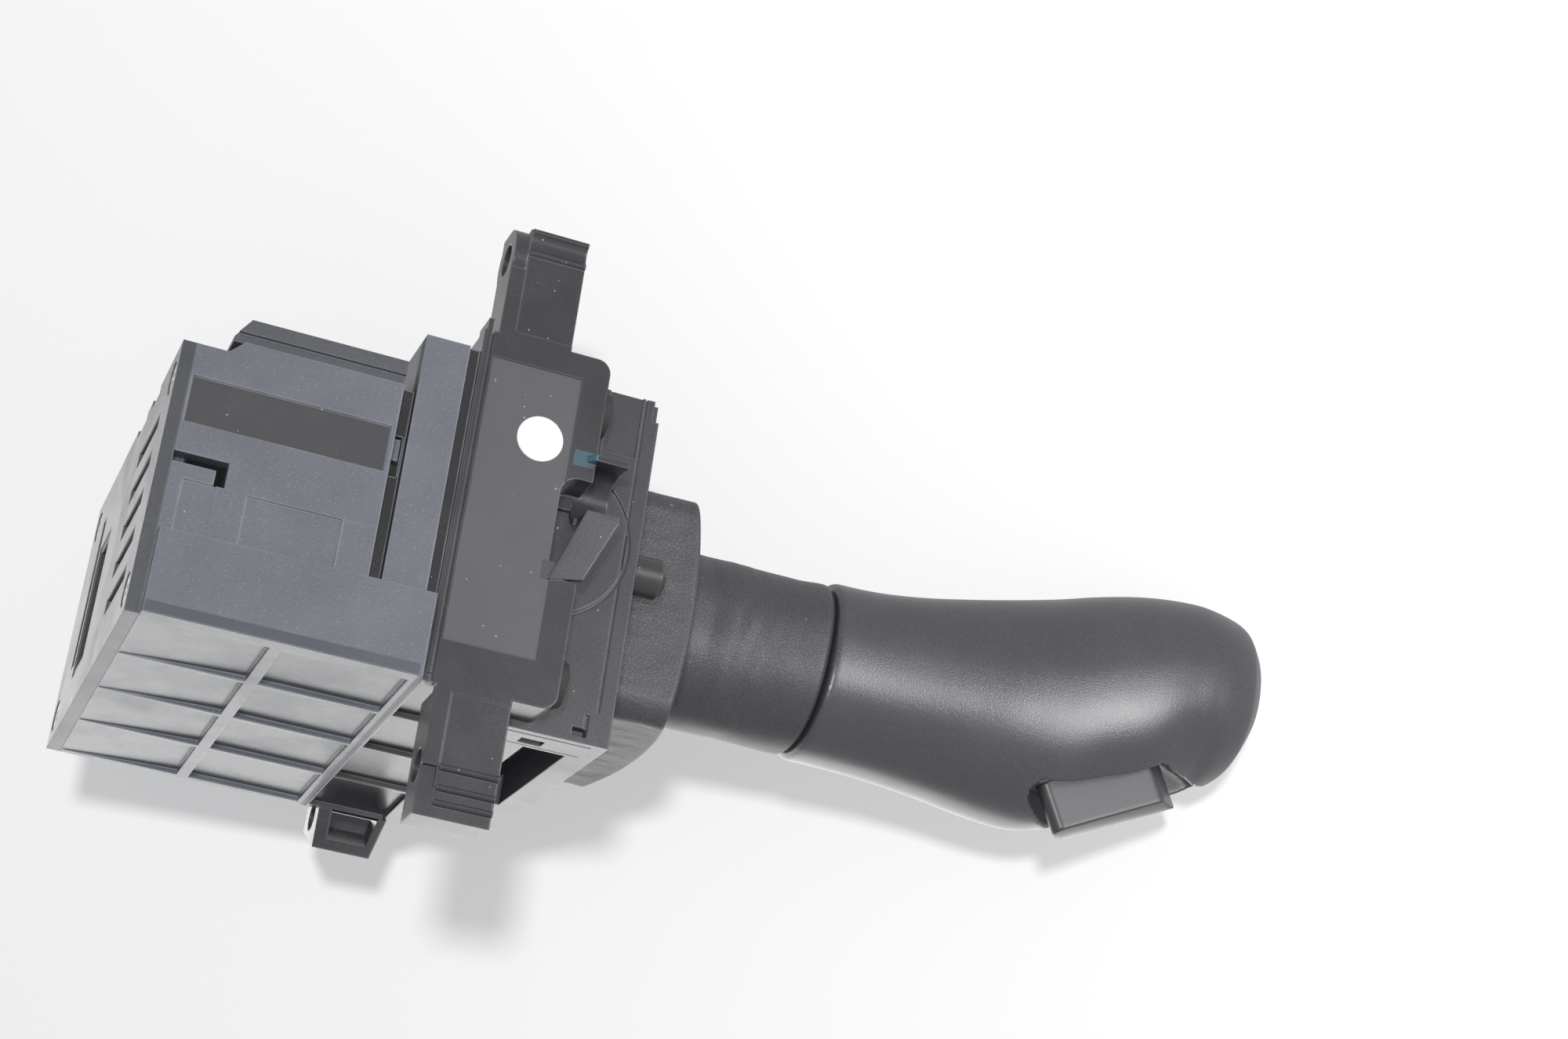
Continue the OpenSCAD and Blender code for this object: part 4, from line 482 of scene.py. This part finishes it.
def finish_piece(name, mesh, material, body, slot, *stands_for):
    """Links a finished mesh as a piece that rides on a body and stands for CAD nodes."""
    mesh.materials.append(material)
    for face in mesh.polygons:
        face.use_smooth = True
    made = bpy.data.objects.new(name, mesh)
    scene.collection.objects.link(made)
    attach(made, body)
    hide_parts(*stands_for)
    return made


def loft(name, rings, closed_path=False):
    """A mesh through rings of equal point count; open ends are capped."""
    mesh = bpy.data.meshes.new(name)
    count = len(rings[0])
    faces = []
    for i in range(len(rings) if closed_path else len(rings) - 1):
        k = (i + 1) % len(rings)
        for j in range(count):
            n = (j + 1) % count
            faces.append((i * count + j, i * count + n, k * count + n, k * count + j))
    if not closed_path:
        faces.append(tuple(reversed(range(count))))
        faces.append(tuple((len(rings) - 1) * count + j for j in range(count)))
    mesh.from_pydata([p for r in rings for p in r], [], faces)
    mesh.update()
    return mesh


collar_low, collar_high = (Vector(v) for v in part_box("boot_collar"))
collar_mid = (collar_low + collar_high) / 2
collar_half_w = (collar_high.x - collar_low.x) / 2
collar_half_d = (collar_high.y - collar_low.y) / 2
collar_corner = 5 * MM
collar_wall = 1.9 * MM
collar_crown = 115 * MM
collar_crest = 18.2 * MM
round_over = collar_wall / 2
bezel_top = collar_low.z


def rim_height(place):
    """Height of the rim above the bezel, crowned both ways about the lever."""
    off = place.x ** 2 + (place.y + collar_mid.y) ** 2
    return math.sqrt(collar_crown ** 2 - off) - collar_crown + collar_crest - round_over


def collar_outline(count):
    """Points and outward directions round the rounded rectangle, evenly along its length."""
    straight_w = collar_half_w - collar_corner
    straight_d = collar_half_d - collar_corner
    arc = collar_corner * math.pi / 2
    total = 4 * (straight_w + straight_d) + 4 * arc
    made = []
    for i in range(count):
        left = total * i / count
        for corner, (sx, sy) in enumerate(((1, 1), (-1, 1), (-1, -1), (1, -1))):
            side = 2 * (straight_d if corner % 2 == 0 else straight_w)
            start = math.radians(90 * corner)
            out = Vector((math.cos(start), math.sin(start), 0))
            along = Vector((-math.sin(start), math.cos(start), 0))
            half = collar_half_w if corner % 2 == 0 else collar_half_d
            if left <= side:
                made.append((out * half + along * (left - side / 2), out))
                break
            left -= side
            if left <= arc:
                turn = start + left / collar_corner
                out = Vector((math.cos(turn), math.sin(turn), 0))
                made.append((Vector((sx * straight_w, sy * straight_d, 0)) + out * collar_corner, out))
                break
            left -= arc
        else:
            made.append((Vector((collar_half_w, -straight_d, 0)), Vector((1, 0, 0))))
    return made


def wrinkle(point, size, across, seed):
    """Soft folds, from -1 to 1, drawn out across the given direction."""
    drawn_out = Vector((point.x * across[0], point.y * across[1], point.z * across[2]))
    return noise.noise(drawn_out / size + Vector((seed, 0, 0)))


# Depths and lengths of the folds, in millimetres: broad waves, small ripples and the pulled
# right flank. They fade out towards the foot and the rim.
wave, wave_length = 0.13, 5
ripple, ripple_length = 0.05, 1.4
pull, pull_length = 0.09, 2.6
flank_from, flank_reach = 0.3, 0.5
foot_fade, rim_fade, rim_left = 6, 4, 0.3
skin_under = 0.12
collar_foot = Vector((collar_mid.x, collar_mid.y, bezel_top))
collar_points = 420
level_count = 30
outline = collar_outline(collar_points)
levels = [0.0, 0.02] + [i / level_count for i in range(1, level_count)] + [1.0]
collar_rings = []
for share in levels:
    ring_points = []
    for place, out in outline:
        rim = rim_height(place)
        flank = max(0.0, min(1.0, (out.x - flank_from) / flank_reach))
        here = Vector((place.x, place.y, share * rim))
        fold = wave * wrinkle(here, wave_length * MM, (1, 1, 0.5), 3.0)
        fold += ripple * wrinkle(here, ripple_length * MM, (1, 1, 0.35), 7.0)
        fold += flank * pull * wrinkle(here, pull_length * MM, (1, 0.9, 0.5), 11.0)
        calm = min(1.0, share * foot_fade) * min(1.0, (1 - share) * rim_fade + rim_left)
        push = (fold - skin_under) * MM * calm
        ring_points.append(collar_foot + here + out * push)
    collar_rings.append(ring_points)
rim_steps = 8
for step in range(1, rim_steps):
    turn = math.pi * step / rim_steps
    ring_points = []
    for place, out in outline:
        rim = rim_height(place)
        here = place - out * (round_over - round_over * math.cos(turn))
        ring_points.append(collar_foot + here + Vector((0, 0, rim + round_over * math.sin(turn))))
    collar_rings.append(ring_points)
for share in (1.0, 0.66, 0.33, 0.0):
    ring_points = []
    for place, out in outline:
        rim = rim_height(place)
        inner = Vector((collar_mid.x, collar_mid.y, bezel_top + share * rim))
        ring_points.append(inner + place - out * collar_wall)
    collar_rings.append(ring_points)
collar_skin = leathered("collar_skin", (0.066, 0.067, 0.075), 0.44, cell=0.7, bump_depth=0.4, crease=0.5,
                        dirt=0.5)
collar_mesh = loft("collar_skin", collar_rings, True)
finish_piece("collar_skin", collar_mesh, collar_skin, "housing", "collar_plastic", "boot_collar")


# Neck sleeve
# A soft skin over a hollow core that closes the lever below the knob. It is worked into
# soft folds at its foot, and its skin has the same leather grain as the collar.
def smooth_value(stations, at, column):
    """Catmull-Rom value of one column of the stations, [height, value ...], at a height."""
    i = 0
    while i < len(stations) - 2 and at > stations[i + 1][0]:
        i += 1
    last = len(stations) - 1
    a, b, c, d = (stations[min(max(k, 0), last)][column] for k in (i - 1, i, i + 1, i + 2))
    t = min(max((at - stations[i][0]) / (stations[i + 1][0] - stations[i][0]), 0), 1)
    return b + 0.5 * t * (c - a + t * (2 * a - 5 * b + 4 * c - d + t * (3 * (b - c) + d - a)))


def oval(z, middle_x, half_x, middle_y, half_y, power, slope, count):
    """A ring of a superellipse round the lever, in millimetres, on a slightly sloping plane."""
    made = []
    for i in range(count):
        turn = 2 * math.pi * i / count
        x = half_x * math.copysign(abs(math.cos(turn)) ** (2 / power), math.cos(turn))
        y = half_y * math.copysign(abs(math.sin(turn)) ** (2 / power), math.sin(turn))
        made.append(Vector((lever_x + middle_x + x, middle_y + y, z - slope * x)))
    return made


lever_x = -2.0
seam_z = 133.0
seam_gap = 0.4
neck_foot = 98.0
neck_h = 35.0
neck_stations = [
    [0, 0.2, 15.6, 0, 13.2], [4, 0.2, 16.6, 0, 14.2], [12, 0.1, 17.1, 0, 14.6], [22, 0.1, 17.0, 0, 14.7],
    [29, 0.2, 16.9, 0, 15.0], [33, 0.1, 17.1, 0, 15.2], [35, 0.1, 17.1, 0, 15.2]]
neck_rings = []
neck_power = 2.2
seam_slope = 0.06
neck_step = 0.35
neck_points = 180
neck_levels = [0.0, 0.4] + [neck_step * i for i in range(2, 101)]
# Folds of the skin, in millimetres: where each lies above the foot, how far it reaches, how deep it is
crease_h, crease_reach, crease_depth = 17, 7, 0.24
hollow_h, hollow_reach, hollow_depth = 11, 2.6, -0.55
tuck_h, tuck_reach, tuck_depth = 5, 1.6, -0.7
tuck_lean = 5
fine_length = 3.4
broad_depth, broad_length = 0.25, 9.0
skin_inset = 0.1
rim_turn = 1.2
rim_inset = 0.75
for h in neck_levels:
    z = neck_foot + (seam_z - seam_gap / 2 - neck_foot) * h / neck_h
    rim = max(0.0, h - (neck_h - rim_turn)) / rim_turn
    ring_points = []
    middle_x, half_x, middle_y, half_y = (smooth_value(neck_stations, h, k) for k in (1, 2, 3, 4))
    for p in oval(z, middle_x, half_x, middle_y, half_y, neck_power, seam_slope * h / neck_h, neck_points):
        out = Vector((p.x - lever_x, p.y, 0)).normalized()
        near = max(0.0, -out.y)
        folds = math.exp(-((h - crease_h) / crease_reach) ** 2) * (0.25 + 0.75 * near)
        fine_fold = wrinkle(p, fine_length, (0.45, 0.45, 1.6), 21.0)
        hollow = hollow_depth * math.exp(-((h - hollow_h) / hollow_reach) ** 2) * near
        broad = broad_depth * wrinkle(p, broad_length, (1, 1, 1), 5.0)
        tuck = tuck_depth * math.exp(-((h - tuck_h - tuck_lean * out.y) / tuck_reach) ** 2) * max(0.0, out.x)
        push = folds * crease_depth * fine_fold + hollow + broad * (1 - rim) * min(1, h / 4)
        push += tuck - skin_inset - rim_inset * rim ** 2
        ring_points.append((p + out * push) * MM)
    neck_rings.append(ring_points)
neck_skin = leathered("neck_skin", (0.06, 0.061, 0.068), 0.42, cell=0.6, bump_depth=0.4, crease=0.5,
                      dirt=0.25)
neck_mesh = loft("neck_skin", neck_rings)
finish_piece("neck_skin", neck_mesh, neck_skin, "lever", "knob_plastic", "neck_sleeve")

# Knob
# The grip is one moulded shell with a soft satin coat. The driver's thumb rests in the
# slanted pocket of the unlock button, and the park button sits on the crown.
knob_top = 227.9
knob_h = knob_top - seam_z
knob_ref = 96.4
knob_power = 2.25
knob_stations = [
    [0, 0.0, 17.6, 0.0, 15.6], [10, -0.1, 17.8, 0.0, 15.8], [20, -0.5, 18.7, 0.1, 16.4],
    [30, -1.0, 20.2, 0.3, 17.4], [40, -1.6, 22.0, 0.6, 18.6], [50, -2.9, 23.4, 1.0, 19.6],
    [60, -6.0, 23.4, 1.6, 20.4], [70, -9.2, 22.6, 2.2, 20.8], [80, -12.9, 20.1, 2.8, 20.2],
    [86, -13.9, 18.8, 3.2, 19.2], [91.5, -15.0, 16.4, 3.5, 17.0], [95, -16.0, 11.4, 3.6, 12.8],
    [knob_ref, -16.6, 5.6, 3.6, 6.8]]
# The shell turns in at the seam over lip_h, and the slope of the seam fades out by level_h
lip_h = 1.3
lip_inset = 1.1
level_h = 30


def knob_z(h):
    """Height of a station of the knob above the origin."""
    return seam_z + h * knob_h / knob_ref


knob_points = 160
knob_rings = []
knob_levels = [0.0, 0.3, 0.7] + [1.2 * i for i in range(1, 74)]
knob_levels += [88 + 0.7 * i for i in range(1, 12)] + [knob_ref]
for h in knob_levels:
    shrink = lip_inset * (max(0.0, lip_h - h) / lip_h) ** 2
    middle_x, half_x, middle_y, half_y = (smooth_value(knob_stations, h, k) for k in (1, 2, 3, 4))
    slope = max(0.0, seam_slope * (1 - h / level_h))
    ring_points = oval(knob_z(h) + (seam_gap / 2 if h == 0 else 0), middle_x, half_x - shrink,
                       middle_y, half_y - shrink, knob_power, slope, knob_points)
    knob_rings.append([p * MM for p in ring_points])

pocket_x = 15.3
pocket_y = -1.0
pocket_h = 68.6
pocket_tilt = 63.5
pocket_at = Vector((lever_x + pocket_x, pocket_y, knob_z(pocket_h))) * MM
pocket_place = Matrix.Translation(pocket_at) @ Matrix.Rotation(math.radians(pocket_tilt), 4, "Y")
unlock_l = 26.6
unlock_w = 18.0
unlock_slant = 0.7
unlock_corner = 2.0
pocket_side = 2.8
pocket_w = unlock_w + 2 * pocket_side
pocket_end = unlock_l / 2 + 2.2
pocket_head = unlock_l / 2 + 6.5
pocket_head_slant = 1.0
pocket_floor = -9.4
pocket_corner = 3.0
liner_t = 1.4
liner_seat = pocket_floor - liner_t
well_room = 1.0
well_floor = -18.0
open_air = 40
cut_past = 1
ramp_turn = math.atan(unlock_slant)
ramp_foot = unlock_l / 2 * math.cos(ramp_turn) + 0.8
ramp_run = 10
ramp_rise = 14


def slanted_outline(low, low_slant, high, high_slant, width, corner, steps=8):
    """A rounded outline, in millimetres, with two straight sides and two slanted ends."""
    middles = []
    for y, is_low in ((-1, True), (-1, False), (1, False), (1, True)):
        y *= width / 2 - corner
        x = low - low_slant * y - corner * math.hypot(1, low_slant)
        if not is_low:
            x = -high - high_slant * y + corner * math.hypot(1, high_slant)
        middles.append(Vector((x, y)))
    made = []
    for i, middle in enumerate(middles):
        before = middle - middles[i - 1]
        after = middles[(i + 1) % 4] - middle
        start = math.atan2(before.x, -before.y)
        turn = (math.atan2(after.x, -after.y) - start) % (2 * math.pi) - 2 * math.pi
        for k in range(steps + 1):
            angle = start + turn * k / steps
            made.append((middle.x + corner * math.cos(angle), middle.y + corner * math.sin(angle)))
    return made[::-1]


def cutter(points, z_low, z_high, place):
    """A closed prism of the outline, in the frame of the pocket."""
    rings = [[place @ (Vector((x, y, z)) * MM) for x, y in points] for z in (z_low, z_high)]
    made = bpy.data.objects.new("cutter", loft("cutter", rings))
    scene.collection.objects.link(made)
    return made


def cut_away(target, tool):
    """Takes the tool out of the target and deletes the tool."""
    step = target.modifiers.new("cut", "BOOLEAN")
    step.operation = "DIFFERENCE"
    step.solver = "EXACT"
    step.object = tool
    apply_all(target)
    bpy.data.objects.remove(tool)


def apply_all(target):
    """Turns the target's modifiers into its mesh."""
    bpy.context.view_layer.update()
    evaluated = target.evaluated_get(bpy.context.evaluated_depsgraph_get())
    mesh = bpy.data.meshes.new_from_object(evaluated)
    target.modifiers.clear()
    target.data = mesh


def box_outline(half_x, half_y, corner, steps=6):
    """A rectangle with rounded corners, in millimetres."""
    made = []
    for sx, sy, start in ((1, 1, 0), (-1, 1, 90), (-1, -1, 180), (1, -1, 270)):
        for i in range(steps + 1):
            turn = math.radians(start + 90 * i / steps)
            made.append((sx * (half_x - corner) + corner * math.cos(turn),
                         sy * (half_y - corner) + corner * math.sin(turn)))
    return made


def evened(name, made, voxel, factor, rounds):
    """The mesh of a cut form with its edges softened, ready to be a piece; the form goes."""
    remesh = made.modifiers.new("even", "REMESH")
    remesh.mode = "VOXEL"
    remesh.voxel_size = voxel * MM
    relax = made.modifiers.new("relax", "SMOOTH")
    relax.factor = factor
    relax.iterations = rounds
    apply_all(made)
    mesh = made.data.copy()
    bpy.data.objects.remove(made)
    mesh.name = name
    return mesh


shell = bpy.data.objects.new("knob_form", loft("knob_form", knob_rings))
scene.collection.objects.link(shell)
pocket_outline = slanted_outline(
    pocket_end, unlock_slant, pocket_head, pocket_head_slant, pocket_w, pocket_corner)
pocket_tool = cutter(pocket_outline, liner_seat, open_air, pocket_place)
ramp_side = [(-ramp_foot, liner_seat - cut_past), (-ramp_foot, pocket_floor),
             (-ramp_foot - ramp_run, pocket_floor + ramp_rise),
             (-ramp_foot - 2 * ramp_run, pocket_floor + ramp_rise),
             (-ramp_foot - 2 * ramp_run, liner_seat - cut_past)]
ramp_place = pocket_place @ Matrix.Rotation(ramp_turn, 4, "Z") @ Matrix.Rotation(math.pi / 2, 4, "X")
cut_away(pocket_tool, cutter(ramp_side, -2 * pocket_w, 2 * pocket_w, ramp_place))
cut_away(shell, pocket_tool)
well_end = unlock_l / 2 + well_room
well_outline = slanted_outline(
    well_end, unlock_slant, well_end, unlock_slant, unlock_w + 2 * well_room, unlock_corner)
cut_away(shell, cutter(well_outline, well_floor, pocket_floor + cut_past, pocket_place))
park_x = -16.6
park_y = 3.6
park_l = 11
park_w = 15
park_corner = 3.3
park_room = 0.45
park_depth = 9.4
park_air = 8
park_place = Matrix.Translation(Vector((lever_x + park_x, park_y, knob_top)) * MM)
park_outline = box_outline(park_l / 2 + park_room, park_w / 2 + park_room, park_corner)
cut_away(shell, cutter(park_outline, -park_depth, park_air, park_place))
display_x = -10
display_y = 17.5
display_h = 78
display_tilt = -64
display_w = 16
display_l = 22
display_corner = 3
display_air = 20
display_place = (Matrix.Translation(Vector((lever_x + display_x, display_y, knob_z(display_h))) * MM)
                 @ Matrix.Rotation(math.radians(display_tilt), 4, "X"))
display_outline = box_outline(display_w / 2, display_l / 2, display_corner)
cut_away(shell, cutter(display_outline, 0, display_air, display_place))
knob_skin = leathered("knob_skin", (0.06, 0.061, 0.07), 0.3, cell=0.5, bump_depth=0.14, crease=0.45,
                      dirt=0.12)
coat_index = 1.65
knob_skin.node_tree.nodes["Principled BSDF"].inputs["IOR"].default_value = coat_index
knob_mesh = evened("knob_skin", shell, voxel=0.42, factor=0.6, rounds=7)
finish_piece("knob_skin", knob_mesh, knob_skin, "lever", "knob_plastic", "knob_shell")

# Unlock button
# It is its own satin moulding that slides in the well of the knob, with a bare, crowned
# press face and soft edges.
press_crown = 60.0
press_lift = 0.8
press_travel = 2.0
press_seat = liner_seat - press_travel - 0.4
press_outline = slanted_outline(
    unlock_l / 2, unlock_slant, unlock_l / 2, unlock_slant, unlock_w, unlock_corner)
press_block = 4
press = cutter(press_outline, press_seat, press_block, pocket_place)
crown_reach = 20
crown_cover = 8
crown_side = [(x, press_lift - press_crown + math.sqrt(press_crown ** 2 - x ** 2))
              for x in range(-crown_reach, crown_reach + 1, 2)]
crown_side = [(crown_reach, crown_cover), (-crown_reach, crown_cover)] + crown_side
crown_place = pocket_place @ Matrix.Rotation(math.pi / 2, 4, "Z") @ Matrix.Rotation(math.pi / 2, 4, "X")
cut_away(press, cutter(crown_side, -open_air, open_air, crown_place))
press_mesh = evened("unlock_skin", press, voxel=0.3, factor=0.5, rounds=5)
press_satin = moulded("press_satin", (0.05, 0.047, 0.053), 0.34, grain_size=0.2, grain_bump=0.1, wear_and_highlight=0.0,
                      scratch=0.2, dirt=0.1, rounded=False)
finish_piece("unlock_skin", press_mesh, press_satin, "unlock", "knob_plastic", "unlock_button")

# Pocket liner, park button and display cover
# Small separate mouldings: a black liner in the pocket, the satin button on the crown, and
# the smoked, polished cover of the gear display, which is snapped into the back.
dress(moulded("liner_black", (0.03, 0.03, 0.033), 0.45, grain_size=0.3, grain_bump=0.15, wear_and_highlight=0.3,
              scratch=0.2, dirt=0.2),
      "pocket_liner")
dress(moulded("button_satin", (0.055, 0.053, 0.056), 0.36, grain_size=0.3, grain_bump=0.12, wear_and_highlight=0.3,
              scratch=0.25, dirt=0.15),
      "park_button")
dress(moulded("smoked_cover", (0.01, 0.01, 0.011), 0.08, grain_size=0.3, grain_bump=0.01, wear_and_highlight=0.1,
              scratch=0.3, dirt=0.2),
      "display_lens")
